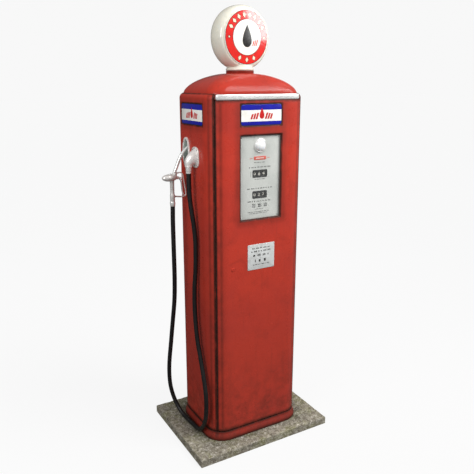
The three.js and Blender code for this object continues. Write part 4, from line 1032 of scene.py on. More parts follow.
def top_hood():
    """The crowned top, from the cabinet's outline to the globe's collar with its rolled rim."""
    z0, z1 = LOW["top_hood"].z, HIGH["top_hood"].z
    half_w, half_d = HIGH["top_hood"].x, HIGH["top_hood"].y
    inset = HALF_W - half_w
    collar_r = 0.073
    crown_z = z1 - 0.015
    corner = BODY_R - inset

    def ring(spread, thin):
        hw = collar_r + (half_w - collar_r) * spread - thin
        hd = collar_r + (half_d - collar_r) * spread - thin
        radius = collar_r + (corner - collar_r) * spread - thin
        rise = (crown_z - z0) * (1 - spread ** 1.6) ** 0.57
        return rounded(hw, hd, radius, z0 + rise - thin * (1 - spread), 16)

    spreads = [math.cos(i / 36 * math.pi / 2) for i in range(36)]
    outer = [ring(s, 0) for s in spreads]
    collar = [(0.0010, crown_z + 0.0005), (0.0, crown_z + 0.002), (0.0, z1 - 0.003), (0.0006, z1 - 0.0008),
              (0.0024, z1), (0.005, z1), (0.005, crown_z + 0.001)]
    rows = outer + [rounded(collar_r - e, collar_r - e, collar_r - e, z, 16) for e, z in collar]
    rows += [ring(s, SHEET) for s in reversed(spreads)]
    piece("crowned_hood", loft(rows, closed=True), "cabinet", M["hood_red"], ["top_hood"], 40)


TRIM_START = 7  # the bar starts this many outline points in from the latch-side flange
TRIM_END = 11  # and stops this many short of the hinge-side flange


def trim_bar(face):
    """The bright bar over a door: a crowned strip with round ends that follows both corners."""
    node = f"{face}_trim_bar"
    z0, z1 = LOW[node].z, HIGH[node].z
    mid, half = (z0 + z1) / 2, (z1 - z0) / 2
    wall = wall_row(face, 0.0, 0.0, SEAM, 0.004, 30)[TRIM_START:-TRIM_END]
    end_r = 0.008
    line = even_steps(wall, 0.0010, end_r)
    rows = []
    section = [(math.copysign(abs(math.sin(a)) ** 0.55, math.sin(a)), 1.0 - abs(math.sin(a)) ** 3)
               for a in np.linspace(-math.pi / 2, math.pi / 2, 13)]
    for point, out, from_end in line:
        near = max(0.0, 1 - from_end / end_r)
        tall = half - end_r + end_r * math.sqrt(1 - near ** 2)
        crown = 0.0044 * max(0.30, math.sqrt(1 - near ** 2))
        row = [point + out * (0.0006 + crown * w) + Vector((0, 0, mid + tall * v * 0.985)) for v,
               w in section]
        row += [point - out * 0.001 + Vector((0, 0, mid + tall * v * 0.96)) for v in (1, 0.33, -0.33, -1)]
        rows.append(row)
    piece(node + "_strip", loft(rows), "cabinet", M["trim"], [node], 50)


def header_sheet(face):
    """The red strip of wall behind a trim bar."""
    z0, z1 = DOOR_Z1 + 0.0012, HIGH[f"{face}_trim_bar"].z - 0.0006
    edge = wall_row(face, 0.0012, z0, 0.0, 0.010, 16)
    rows = [edge]
    for z in np.linspace(z0 + 0.0012, z1, 9):
        over = max(0.0, float(z) - SHOULDER_Z)
        roll = SHOULDER_R - math.sqrt(SHOULDER_R ** 2 - over ** 2)
        flat = wall_row(face, 0.0, float(z), 0.0, 0.010, 16)
        rolled = wall_row(face, roll, float(z), 0.0, 0.010, 16)
        ends = [max(0.0, 1 - min(i, len(flat) - 1 - i) / 20) for i in range(len(flat))]
        rows.append([a.lerp(b, min(1.0, 2 * end)) for a, b, end in zip(flat, rolled, ends)])
    piece(f"{face}_header_sheet", sheet(rows, SHEET), "cabinet", M["door_red"], smooth=40)


def sill_strip(face, inset, ends):
    """The upstand behind the gap over the skirt; ends is how many outline points it leaves at each end."""
    z0 = HIGH["base_skirt"].z - 0.005
    levels = [(0.0065, z0), (inset, z0 + 0.002), (inset, z0 + 0.024)]
    rows = [wall_row(face, side, z, 0.0, 0.010, 16) for side, z in levels]
    rows = [row[ends:len(row) - ends] for row in rows]
    piece(f"{face}_sill_strip", sheet(rows, SHEET), "cabinet", M["skirt_red"],
          smooth=40)


def seam_seal(face):
    """A brown felt strip in the bottom of a latch-side seam, dark as the groove's shade and dirt."""
    side = -1 if face == "front" else 1
    out = Vector((side, side, 0)).normalized()
    toward_door = Vector((-side, side, 0)).normalized()
    centre = Vector((side * CORNER_X, side * CORNER_Y, 0))
    rows = []
    for z in np.linspace(PANEL_Z0 + 0.004, DOOR_Z1 - 0.004, 60):
        wobble = 0.0006 * noise.noise(Vector((z * 30, side, side)))
        section = [(BODY_R - 0.016, 0.0003), (BODY_R - 0.0055 + wobble, 0.0003),
                   (BODY_R - 0.0045 + wobble, SEAM / 2), (BODY_R - 0.0055 + wobble, SEAM - 0.0008),
                   (BODY_R - 0.016, SEAM - 0.0008)]
        rows.append([centre + out * a + toward_door * b + Vector((0, 0, float(z))) for a, b in section])
    piece(f"{face}_seam_seal", loft(rows), "cabinet", M["groove_shade"])


def even_steps(wall, fine, ends):
    """Points along a wall's outline, closer at both ends, each with its outward side and end distance."""
    lengths = [0.0]
    for a, b in zip(wall, wall[1:]):
        lengths.append(lengths[-1] + (b - a).length)
    total = lengths[-1]
    stops = [i * fine for i in range(int(ends / fine) + 1)]
    inner = np.linspace(ends + fine, total - ends - fine, 90)
    stops = stops + list(inner) + [total - s for s in reversed(stops)]
    out = []
    for stop in stops:
        i = max(0, min(len(wall) - 2, int(np.searchsorted(lengths, stop)) - 1))
        t = (stop - lengths[i]) / (lengths[i + 1] - lengths[i])
        along = (wall[i + 1] - wall[i]).normalized()
        side = along.cross(Vector((0, 0, 1)))
        point = wall[i].lerp(wall[i + 1], t)
        if side.dot(point) < 0:
            side = -side
        out.append((point, side, min(stop, total - stop)))
    return out


# ---------------------------------------------------------------- printed glass


def fuel_drop(height, x=0.0, y=0.0, count=28):
    """A plain fuel drop's outline."""
    points = []
    for i in range(count):
        t = 2 * math.pi * i / count
        points.append((x + 0.36 * height * math.sin(t) * math.sin(t / 2) ** 1.4, y
                       + 0.5 * height * math.cos(t)))
    return points


def slanted_bar(x0, x1, y0, y1, lean=0.35):
    """A leaning bar's outline."""
    shift = (y1 - y0) * lean
    return [(x0, y0), (x1, y0), (x1 + shift, y1), (x0 + shift, y1)]


def lozenge(x, y, half_w, half_h, angle=0.0):
    """A lozenge's outline about (x, y)."""
    c, s = math.cos(angle), math.sin(angle)
    return [(x + c * a - s * b, y + s * a + c * b) for a,
            b in ((half_w, 0), (0, half_h), (-half_w, 0), (0, -half_h))]


def split_by_height(obj, cuts, slots):
    """Cuts a piece at several heights and gives each band its material slot, from the bottom up."""
    made = bmesh.new()
    made.from_mesh(obj.data)
    for z in cuts:
        bmesh.ops.bisect_plane(made, geom=made.verts[:] + made.edges[:] + made.faces[:], dist=1e-6,
                               plane_co=(0, 0, z), plane_no=(0, 0, 1))
    for face in made.faces:
        z = face.calc_center_median().z
        face.material_index = slots[sum(z > c for c in cuts)]
    made.to_mesh(obj.data)
    made.free()


def ad_glass(face, body):
    """A pane with blue, white and blue bands and a plain red emblem, in a rubber gasket."""
    depth = (HALF_D if face in ("front", "rear") else HALF_W) - 0.0052
    lip = thick = 0.0035
    w, h = 2 * (AD_HALF_W - lip), 2 * (AD_HALF_H - lip)
    at = facing(face, depth, 0, AD_MID)
    pane = tile(w, h, AD_R - lip, thick, 0.0012, 8).moved(at)
    materials = [M["ad_white"], M["ad_blue"]]
    obj = piece(f"{face}_ad_pane", pane, body, materials, [f"{face}_ad_glass"])
    split_by_height(obj, (AD_Z0 + h * 0.215, AD_Z1 - h * 0.30), (1, 0, 1))
    front = facing(face, depth + thick, 0, AD_MID)
    art = Shape()
    for side in (-1, 1):
        for i in range(3):
            x = side * (0.0275 + 0.0150 * i) - 0.004
            rise = 0.010 - 0.0025 * i
            art.join(flat_art(slanted_bar(x - 0.0052, x + 0.0052, -0.021, rise)))
    art.join(flat_art(fuel_drop(0.054, 0.001, 0.007)))
    piece(f"{face}_ad_emblem", art.moved(front), body, M["ad_red"])
    section = [(0.0, -0.003), (0.0, 0.0035), (-0.0012, 0.0042), (-0.0032, 0.0040), (-0.0036, 0.0034),
               (-0.0036, -0.003)]
    gasket = ring_frame(AD_HALF_W, AD_HALF_H, AD_R, section, 8).moved(at)
    piece(f"{face}_ad_gasket", gasket, body, M["gasket"])


# ---------------------------------------------------------------- dials


PRINT_THICK = 0.0002


def print_line(maker, z, width, height, x=0.0):
    """A line of plain dashes where a real dial has small print."""
    art = Shape()
    left = x - width / 2
    while left < x + width / 2 - 0.003:
        long = min(maker.uniform(0.006, 0.022), x + width / 2 - left)
        count = max(1, int(long / (height * 0.78)))
        for i in range(count):
            a = left + i * long / count
            b = a + long / count * 0.68
            wobble = maker.uniform(0.72, 1.0)
            art.join(flat_art([(a, z - height / 2), (b, z - height / 2), (b, z + height * (wobble - 0.5)),
                               (a, z + height * (wobble - 0.5))], PRINT_THICK))
        left += long + height * 0.9
    return art


DIAL_PRINT = (  # lines of small print: height, width, letter height and place across
    (1.6075, 0.070, 0.0040, 0.0), (1.5835, 0.132, 0.0066, 0.0), (1.5205, 0.062, 0.0042, 0.0),
    (1.4730, 0.154, 0.0068, 0.0), (1.4050, 0.146, 0.0062, 0.0), (1.3630, 0.056, 0.0030, 0.0),
    (1.3485, 0.132, 0.0042, -0.006), (1.3405, 0.112, 0.0034, -0.006),
)


def dial_plate(face):
    """The enamelled dial with its windows; print, plaque and screws sit on it."""
    under = 0.007  # how far the plate reaches under the bezel
    plate = tile(2 * (DIAL_HALF_W + under), 2 * (DIAL_HALF_H + under), 0.002, 0.0025, 0.0004, 3)
    plate = plate.moved(facing(face, DIAL_FACE - 0.0026, 0, DIAL_MID))
    obj = piece(f"{face}_dial_face", plate, "cabinet", M["dial"], [f"{face}_dial_plate"])
    windows = [(0.0405, 0.0108, SALE_Z, 0.0), (0.0405, 0.0108, VOLUME_Z, 0.0)]
    windows += [(0.0105, 0.0095, PRICE_Z, x) for x in PRICE_ACROSS]
    cutters = [tile(2 * w, 2 * h, 0.002, 0.02, 0.0001, 4).moved(facing(face, DIAL_FACE - 0.012, x, z))
               for w, h, z, x in windows]
    eye = loft([circle(0.025, z, 40) for z in (-0.012, 0.012)])
    cut_openings(obj, cutters + [eye.moved(facing(face, DIAL_FACE, 0, SIGHT_Z))])
    frames = Shape()
    section = [(0.0, -0.002), (0.0, 0.0005), (0.0006, 0.0010), (0.0036, 0.0012), (0.0046, 0.0008),
               (0.0048, 0.0)]
    for z in (SALE_Z, VOLUME_Z):
        frames.join(ring_frame(0.0402, 0.0105, 0.002, section, rise=2.0).shifted(0, z, 0))
    frames = frames.moved(facing(face, DIAL_FACE - 0.0001))
    piece(f"{face}_window_frames", frames, "cabinet", M["wheel"])
    on_face = facing(face, DIAL_FACE)
    maker = random.Random(11)
    art = Shape()
    for line in DIAL_PRINT:
        art.join(print_line(maker, *line))
    art.join(flat_art([(-0.0560, SALE_Z - 0.014), (-0.0546, SALE_Z - 0.014), (-0.0546, SALE_Z + 0.014),
                       (-0.0560, SALE_Z + 0.014)]))
    piece(f"{face}_dial_print", art.moved(on_face), "cabinet", M["print"])
    plaque = tile(0.074, 0.018, 0.004, 0.0012, 0.0006).shifted(0, 1.6295, 0)
    stripe = flat_art(slanted_bar(-0.026, 0.020, 1.6275, 1.6315), 0.0004).shifted(0, 0, 0.0012)
    for x in (-0.054, 0.052):
        plaque.join(flat_art(slanted_bar(x - 0.009, x + 0.009, 1.6280, 1.6302, 0.6)))
    piece(f"{face}_dial_plaque", plaque.moved(on_face), "cabinet", M["plaque"])
    piece(f"{face}_plaque_stripe", stripe.moved(on_face), "cabinet", M["numeral"])
    screws = screws_at(0.0032, 0.0016, (-0.112, 0.112), (DIAL_Z0 + 0.012, DIAL_Z1 - 0.012))
    piece(f"{face}_dial_screws", screws.moved(on_face), "cabinet", M["steel"])


def dial_bezel(face):
    """The channel between the door's opening and the dial, painted dark brown as the shade in that recess.
    """
    deep = HALF_D - DIAL_FACE
    section = [(-0.0002, -deep + 0.002), (-0.0002, -0.0065), (-0.0010, -0.0050), (-0.0030, -0.0050),
               (-0.0040, -0.0062), (-0.0040, -deep + 0.002)]
    channel = ring_frame(DIAL_HALF_W, DIAL_HALF_H, 0.006, section,
                         8).moved(facing(face, HALF_D, 0, DIAL_MID))
    piece(f"{face}_dial_channel", channel, f"{face}_door", M["bezel_shade_brown"], [f"{face}_dial_bezel"])


def dial_glass(face):
    """The dial's pane, with a round hole for the sight glass."""
    gap = 0.0044
    pane = tile(2 * (DIAL_HALF_W - gap), 2 * (DIAL_HALF_H - gap), 0.003, 0.0025, 0.0004, 6)
    pane = pane.moved(facing(face, DIAL_FACE + 0.0052, 0, DIAL_MID))
    obj = piece(f"{face}_dial_pane", pane, f"{face}_door", M["glass"], [f"{face}_dial_glass"])
    hole = loft([circle(0.041, z, 48) for z in (-0.02, 0.02)])
    cut_openings(obj, [hole.moved(facing(face, DIAL_FACE, 0, SIGHT_Z))])


def sight_glass(face):
    """A domed sight glass in a plated ring, milky white as a painted reflection."""
    dome = [(0.0268, 0.0030), (0.0272, 0.0070)]
    dome += [(0.0272 * math.cos(a), 0.0070 + 0.0150 * math.sin(a)) for a in np.linspace(0.15, 1.5708, 14)]
    inner = [(r - 0.0022 if r > 0.003 else r, z - 0.0022) for r, z in reversed(dome)]
    shell = turned([*dome, *inner[:-1], (0.0246, 0.0030)], 56, closed=True)
    at = facing(face, DIAL_FACE, 0, SIGHT_Z)
    piece(f"{face}_sight_dome", shell.moved(at), "cabinet", M["sight"], [f"{face}_sight_glass"])
    ring = [(0.0262, 0.0004), (0.0355, 0.0004), (0.0362, 0.0016), (0.0352, 0.0042), (0.0330, 0.0052),
            (0.0306, 0.0046), (0.0290, 0.0060), (0.0274, 0.0056), (0.0262, 0.0030)]
    ring = turned(ring, 56, closed=True).moved(at)
    piece(f"{face}_sight_ring", ring, "cabinet", M["chrome"])


def flow_spinner():
    """A four-bladed rotor with pitched blades behind the sight glass."""
    box_low, box_high = LOW["flow_spinner"], HIGH["flow_spinner"]
    centre = (box_low + box_high) / 2
    reach = (box_high.x - box_low.x) / 2
    shape = soft_turned([(0, -0.0028), (0.0050, -0.0028), (0.0050, 0.0020), (0.0024, 0.0042), (0, 0.0044)],
                        0.0006, 24)
    blade = tile(reach - 0.003, 0.0052, 0.0012, 0.0010, 0.0003).shifted(reach / 2 + 0.0006, 0, -0.0005)
    shape.join(spun(blade.moved(Matrix.Rotation(math.radians(32), 4, "X")), 4))
    rotor = shape.moved(facing("front", -centre.y - 0.001, 0, centre.z))
    piece("flow_rotor", rotor, "flow_spinner", M["brass"], ["flow_spinner"])


def numeral(text, height):
    """One digit as a flat outline mesh, centred, as (x, y) vertices and faces."""
    curve = bpy.data.curves.new("digit", "FONT")
    curve.body = text
    curve.resolution_u = 3
    curve.offset = 0.022
    obj = bpy.data.objects.new("digit", curve)
    bpy.context.scene.collection.objects.link(obj)
    graph = bpy.context.evaluated_depsgraph_get()
    mesh = bpy.data.meshes.new_from_object(obj.evaluated_get(graph), depsgraph=graph)
    bpy.data.objects.remove(obj)
    made = bmesh.new()
    made.from_mesh(mesh)
    bmesh.ops.remove_doubles(made, verts=made.verts, dist=1e-5)
    low = Vector((min(v.co.x for v in made.verts), min(v.co.y for v in made.verts)))
    high = Vector((max(v.co.x for v in made.verts), max(v.co.y for v in made.verts)))
    size = height / (high.y - low.y)
    for v in made.verts:
        v.co = Vector(((v.co.x - (low.x + high.x) / 2) * size, (v.co.y - (low.y + high.y) / 2) * size, 0))
    for i in range(1, 8):
        bmesh.ops.bisect_plane(made, geom=made.verts[:] + made.edges[:] + made.faces[:], dist=1e-7,
                               plane_co=(0, height * (i / 8 - 0.5), 0), plane_no=(0, 1, 0))
    made.verts.index_update()
    verts = [v.co.copy() for v in made.verts]
    faces = [tuple(v.index for v in f.verts) for f in made.faces]
    rim = [(e.verts[0].index, e.verts[1].index) for e in made.edges if len(e.link_faces) == 1]
    made.free()
    bpy.data.meshes.remove(mesh)
    return verts, faces, rim


DIGITS = {}


def wheel_digits(radius, centre, x, shown, height, wide=1.0):
    """Ten digits around a wheel about the X axis, the shown one facing the front."""
    shape = Shape()
    for digit in range(10):
        key = (digit, height)
        if key not in DIGITS:
            DIGITS[key] = numeral(str(digit), height)
        verts, faces, rim = DIGITS[key]
        turn = (digit - shown) * math.radians(36)
        n = len(verts)
        points = []
        for r in (radius + 0.00015, radius - 0.0004):
            for v in verts:
                angle = v.y / radius + turn
                points.append(Vector((x + v.x * wide, centre.y - r * math.cos(angle), centre.z
                                      + r * math.sin(angle))))
        shell = list(faces) + [tuple(n + i for i in reversed(f)) for f in faces]
        shell += [(a, b, n + b, n + a) for a, b in rim]
        shape.add(points, shell)
    return shape


def number_wheel(node, body, shown):
    """A counter wheel: a rim with broken edges, a web, a toothed drive ring and ten numerals."""
    low, high = LOW[node], HIGH[node]
    centre = (low + high) / 2
    radius = (high.z - low.z) / 2
    half = (high.x - low.x) / 2
    bore = 0.0048
    profile = [(bore, -half), (bore + 0.004, -half), (bore + 0.004, -half + 0.004),
               (radius - 0.004, -half + 0.004),
               (radius - 0.004, -half), (radius - 0.0008, -half), (radius - 0.0002, -half + 0.0008),
               (radius - 0.0002, half - 0.0008), (radius - 0.0008, half), (radius - 0.004, half),
               (radius - 0.004, half - 0.004), (bore + 0.004, half - 0.004), (bore + 0.004, half),
               (bore, half)]
    shape = along_x(turned(profile, 64, closed=True))
    tooth = tile(0.0016, 0.0030, 0.0003, 0.0034, 0.0003, 2).shifted(radius - 0.0052, 0, half - 0.0042)
    shape.join(along_x(spun(tooth, 20)))
    piece(node + "_rim", shape.shifted(*centre), body, M["wheel"], [node])
    digits = wheel_digits(radius - 0.0002, centre, centre.x, shown, 0.0175, 1.15)
    piece(node + "_numerals", digits, body, M["numeral"])


def price_wheels():
    """The light price drum: three rims of black numerals."""
    low, high = LOW["price_wheels"], HIGH["price_wheels"]
    centre = (low + high) / 2
    radius = (high.z - low.z) / 2
    shape = Shape()
    half = 0.0155
    profile = [(0.0048, -half), (radius - 0.0008, -half), (radius - 0.0002, -half + 0.0008),
               (radius - 0.0002, half - 0.0008), (radius - 0.0008, half), (0.0048, half)]
    for x in PRICE_ACROSS:
        shape.join(along_x(turned(profile, 56, closed=True)).shifted(x, 0, 0))
    piece("price_drums", shape.shifted(*centre), "price_wheels", M["price_drum"], ["price_wheels"])
    digits = Shape()
    for x, shown in zip(PRICE_ACROSS, (2, 8, 5)):
        digits.join(wheel_digits(radius - 0.0002, centre, centre.x + x, shown, 0.0135, 1.25))
    piece("price_numerals", digits, "price_wheels", M["print"])


def notice_plate():
    """A blank enamelled notice: lines of plain dashes and four rivets."""
    low, high = LOW["notice_plate"], HIGH["notice_plate"]
    w, h = high.x - low.x, high.z - low.z
    at = facing("front", -high.y, (low.x + high.x) / 2, (low.z + high.z) / 2)
    plate = tile(w, h, 0.003, high.y - low.y, 0.0005)
    piece("notice_panel", plate.moved(at), "front_door", M["plate"], ["notice_plate"])
    maker = random.Random(5)
    art = Shape()
    for z, width, height in ((0.048, 0.112, 0.0070), (0.031, 0.124, 0.0080), (0.009, 0.100, 0.0120),
                             (-0.020, 0.078, 0.0190), (-0.043, 0.104, 0.0050)):
        art.join(print_line(maker, z, width, height))
    front = facing("front", -low.y, (low.x + high.x) / 2, (low.z + high.z) / 2)
    piece("notice_print", art.moved(front), "front_door", M["print"])
    in_x, in_z = w / 2 - 0.006, h / 2 - 0.006
    rivets = screws_at(0.0026, 0.0012, (-in_x, in_x), (-in_z, in_z))
    piece("notice_rivets", rivets.moved(front), "front_door", M["steel"])


# ---------------------------------------------------------------- globe


def mm(x, y, z):
    """A point given in millimetres from the cabinet's centre line and the slab's top."""
    return Vector((x / 1000, y / 1000, SLAB_TOP + z / 1000))


def dome_height(r):
    """How far a lens stands out of its seat at radius r."""
    return 0.004 + 0.009 * (1 - (r / LENS_R) ** 2)


def globe_place(face, depth=LENS_SEAT):
    """Places a shape on the globe, which is turned a little off square."""
    return Matrix.Rotation(GLOBE_TURN, 4, "Z") @ facing(face, depth, 0, GLOBE_Z)


def globe_body():
    """The opal glass ring with its rolled lens seats."""
    seat_r, half = LENS_R + 0.003, 0.0540
    outer = []
    for i in range(25):
        across = -math.cos(i / 24 * math.pi)
        swell = (1 - abs(across) ** 2.2) ** 0.5
        outer.append((seat_r + (GLOBE_R - seat_r) * swell, half * across))
    lip = 0.0026
    front = [(seat_r - lip * (1 - math.sin(a)), half - lip * (1 - math.cos(a)) + 0.0002)
             for a in (1.2, 0.7, 0.0)]
    back = [(r, -z) for r, z in reversed(front)]
    inner = [(LENS_R - 0.008, half - 0.001), (GLOBE_R - 0.011, half - 0.022), (GLOBE_R - 0.006, 0),
             (GLOBE_R - 0.011, 0.022 - half), (LENS_R - 0.008, 0.001 - half)]
    ring = turned(outer[1:-1] + front + inner + back, 128, closed=True)
    piece("globe_ring", ring.moved(globe_place("front", 0)), "cabinet", M["globe"], ["globe_body"],
          50)
    z0 = LOW["globe_body"].z
    foot = [(0.0600, z0), (0.0722, z0), (0.0736, z0 + 0.0020), (0.0742, z0 + 0.0060), (0.0728, z0 + 0.0090),
            (0.0696, z0 + 0.0130), (0.0682, z0 + 0.0180), (0.0674, z0 + 0.0240), (0.0664, z0 + 0.0262),
            (0.0600, z0 + 0.0262)]
    piece("globe_foot", turned(foot, 80, closed=True), "cabinet", M["globe"])


def lens_art(outline, thick):
    """Art that follows a lens's dome."""
    art = flat_art(outline, thick, 0.006)
    for v in art.verts:
        v.z += dome_height(math.hypot(v.x, v.y)) - 0.0001
    return art


def globe_lens(face):
    """A domed lens: white centre, red ring, fine black lines, plain marks and a fuel drop."""
    white, red, black = 0, 1, 2
    bands = ((0.0, 0.642, white), (0.642, 0.660, black), (0.660, 0.965, red), (0.965, 0.985, black),
             (0.985, 1.0, white))
    rows, slots = [], []
    for low, high, slot in bands:
        steps = max(1, round((high - low) * 40))
        for i in range(steps):
            rows.append((low + (high - low) * i / steps) * LENS_R)
            slots.append(slot)
    rows.append(LENS_R)
    profile = [(r, dome_height(r)) for r in rows] + [(LENS_R, 0.0015), (LENS_R - 0.002, 0.0), (0.0, 0.0)]
    sides = 128
    shape = loft([circle(max(r, 1e-4), z, sides) for r, z in profile])
    shape.slots = [s for s in slots for _ in range(sides)] + [0] * (3 * sides) + [0, 0]
    at = globe_place(face)
    materials = [M["lens_white"], M["lens_red"], M["lens_black"]]
    piece(f"{face}_lens", shape.moved(at), "cabinet", materials, [f"globe_lens_{face}"], 50)
    ring_r = 0.812 * LENS_R  # the middle of the red ring
    dark, cream = Shape(), Shape()
    marks = [(math.radians(a), 0.0118, 0.0168) for a in (153, 135, 117, 99, 81, 63, 45, 27)]
    marks += [(math.radians(a), 0.0118, 0.0155) for a in (246, 270, 294)]
    for angle, half_w, half_h in marks:
        x, y = ring_r * math.cos(angle), ring_r * math.sin(angle)
        turn = angle - math.pi / 2
        dark.join(lens_art(lozenge(x, y, half_w, half_h, turn), 0.0002))
        cream.join(lens_art(lozenge(x, y, half_w * 0.80, half_h * 0.82, turn), 0.0004))
    for x in (ring_r, -ring_r):
        dark.join(lens_art([(x + p.x, p.y) for p in circle(0.0068, 0, 20)], 0.0002))
        cream.join(lens_art([(x + p.x, p.y) for p in circle(0.0046, 0, 20)], 0.0004))
    dark.join(lens_art(fuel_drop(0.112, -0.002, 0.008, 40), 0.0002))
    piece(f"{face}_lens_marks", dark.moved(at), "cabinet", M["lens_black"])
    piece(f"{face}_lens_fill", cream.moved(at), "cabinet", M["lens_cream"])
    bars = Shape()
    for i, x in enumerate((0.030, 0.041, 0.052)):
        bars.join(lens_art(slanted_bar(x, x + 0.0065, -0.040, -0.016 + 0.005 * i), 0.0003))
    piece(f"{face}_lens_bars", bars.moved(at), "cabinet", M["lens_red"])


def globe_lamp():
    """The bulb inside the globe, with its screw base."""
    low, high = LOW["globe_lamp"], HIGH["globe_lamp"]
    r = (high.x - low.x) / 2
    centre = high.z - r
    neck = [(0.0, low.z), (0.013, low.z), (0.0145, low.z + 0.002)]
    thread = [(0.0135 + 0.0012 * (i % 2), low.z + 0.004 + 0.0025 * i) for i in range(12)]
    neck += thread + [(0.0150, centre - r * 1.35), (0.0170, centre - r * 1.15)]
    ball = [(r * math.cos(a), centre + r * math.sin(a)) for a in np.linspace(-0.85, math.pi / 2, 18)]
    piece("lamp_bulb", turned(neck + ball, 40), "cabinet", M["lamp"], ["globe_lamp"], 50)


# ---------------------------------------------------------------- outlet, boot, nozzle and hose


def nozzle_boot():
    """The cast holster: a rounded oval rim that stands off the panel round a deep pocket."""
    stand = -HALF_W - LOW["nozzle_boot"].x
    deep = HIGH["nozzle_boot"].x + HALF_W

    def oval(inset, outward):
        w, h = BOOT_HALF_W - inset, BOOT_HALF_H - inset
        return [Vector((w * math.cos(a), h * math.sin(a), outward))
                for a in np.linspace(0, 2 * math.pi, 72, False)]

    rim = [(0.0, 0.0004), (0.0, stand - 0.004), (0.0012, stand - 0.0012), (0.0040, stand), (0.0075, stand),
           (0.0105, stand - 0.0010), (0.0120, stand - 0.0040), (0.0123, -0.004), (0.0126, -0.012)]
    pocket = [(0.0130, -0.022), (0.0134, -0.034), (0.0150, 0.006 - deep), (0.0200, 0.0036 - deep),
              (0.0270, 0.003 - deep)]
    back = [(0.0270, -deep), (0.0180, -deep), (0.0115, 0.004 - deep), (0.0095, 0.008 - deep),
            (0.0095, 0.0004)]
    rows = [oval(i, w) for i, w in rim + pocket + back]
    at = facing("left", HALF_W, -NOZZLE_Y, BOOT_Z)
    shell = loft(rows, closed=True)
    casting, inside = 0, 1
    first, last = len(rim) - 3, len(rows) - 5  # the rows that line the pocket
    shell.slots = [inside if first <= i <= last else casting for i in range(len(rows)) for _ in rows[0]]
    shell.join(loft([oval(0.0262, -deep + 0.0002), oval(0.0262, 0.0030 - deep)]), inside)
    piece("boot_casting", shell.moved(at), "cabinet", [M["cast"], M["boot_inside"]], ["nozzle_boot"])
    screws = Shape()
    for a in (math.radians(angle) for angle in (50, 130, 230, 310)):
        x, y = (BOOT_HALF_W - 0.006) * math.cos(a), (BOOT_HALF_H - 0.006) * math.sin(a)
        screws.join(screw(0.0034, 0.0016).shifted(x, y, stand))
    piece("boot_screws", screws.moved(at), "cabinet", M["steel"])


def outlet_elbow():
    """The fan-shaped outlet casting, from its beaded flange down to the hose's neck."""
    seat = -HALF_W - 0.0003
    half_w, half_h = 0.040, 0.054
    section = [(0.0, 0.0), (0.0, 0.0040), (-0.0014, 0.0062), (-0.0040, 0.0070), (-0.0070, 0.0062),
               (-0.0085, 0.0046)]
    rows = [rounded(half_w + e, half_h + e, 0.034 + e, w, 12) for e, w in section]
    at = facing("left", -seat, -OUTLET.y, OUTLET_FLANGE_Z)
    flange = loft(rows).moved(at)
    pivot_x = seat - 0.0044
    neck_r = 0.017
    neck_z = SLAB_TOP + 1.546
    fan_tall, fan_wide = 0.092, 0.066
    rows = []
    for t in np.linspace(0, 1, 21):
        turn = t * math.pi / 2
        near = 0.004 + (pivot_x - OUTLET.x - neck_r - 0.004) * t
        tall = fan_tall + (2 * neck_r - fan_tall) * t ** 0.7
        wide = fan_wide + (2 * neck_r - fan_wide) * t ** 0.8
        reach_mid = near + tall / 2
        row = []
        for a in np.linspace(0, 2 * math.pi, 40, False):
            peak = math.exp(-(math.remainder(a, 2 * math.pi) / 0.22) ** 2)
            ridge = 1 + 0.035 * peak * math.sin(math.pi * t)
            reach = reach_mid + tall / 2 * math.cos(a) * ridge
            row.append(Vector((pivot_x - reach * math.sin(turn), OUTLET.y + wide / 2 * math.sin(a),
                               neck_z - 0.008 * (1 - t) + reach * math.cos(turn))))
        rows.append(row)
    fan = loft(rows)
    collar = [(0.0, -0.006), (0.0170, -0.006), (0.0186, -0.0045), (0.0190, -0.001), (0.0182, 0.0030),
              (0.0, 0.0034)]
    neck = turned(collar, 48).shifted(OUTLET.x, OUTLET.y, neck_z)
    piece("outlet_casting", flange.join(fan).join(neck), "cabinet", M["cast"], ["outlet_elbow"],
          50)
    bolts = Shape()
    for x in (-0.0270, 0.0270):
        for z in (-0.0400, 0.0400):
            bolts.join(hex_head(0.0034, 0.0036).shifted(x, z, 0.0044))
    piece("outlet_bolts", bolts.moved(at), "cabinet", M["steel"])


def outlet_ferrule():
    """The ribbed, plated ferrule on the hose's upper end."""
    low, high = LOW["outlet_ferrule"], HIGH["outlet_ferrule"]
    h = high.z - low.z
    profile = [(0, 0), (0.0138, 0), (0.0144, 0.0008), (0.0144, 0.0050), (0.0134, 0.0062), (0.0134, 0.0078),
               (0.0140, 0.0090), (0.0140, h - 0.0110), (0.0150, h - 0.0098), (0.0157, h - 0.0080),
               (0.0157, h - 0.0016), (0.0150, h - 0.0004), (0.0, h)]
    collar = turned(profile, 48).shifted(OUTLET.x, OUTLET.y, low.z)
    rib = tile(0.0024, 0.0130, 0.0008, 0.0008, 0.0004, 2).moved(Matrix.Rotation(math.pi / 2, 4, "Z"))
    ribs = spun(along_x(rib).shifted(0.0138, 0, 0), 18)
    collar.join(ribs.shifted(OUTLET.x, OUTLET.y, low.z + 0.0155))
    piece("hose_ferrule", collar, "cabinet", M["chrome"], ["outlet_ferrule"])


VALVE = mm(-391, 62, 1475)  # the middle of the valve body
GRIP = mm(-378, 62, 1323)  # the hose's end
SPOUT_FOOT = mm(-362, 62, 1495)
LEVER_PIN = mm(-330, 62, 1463)


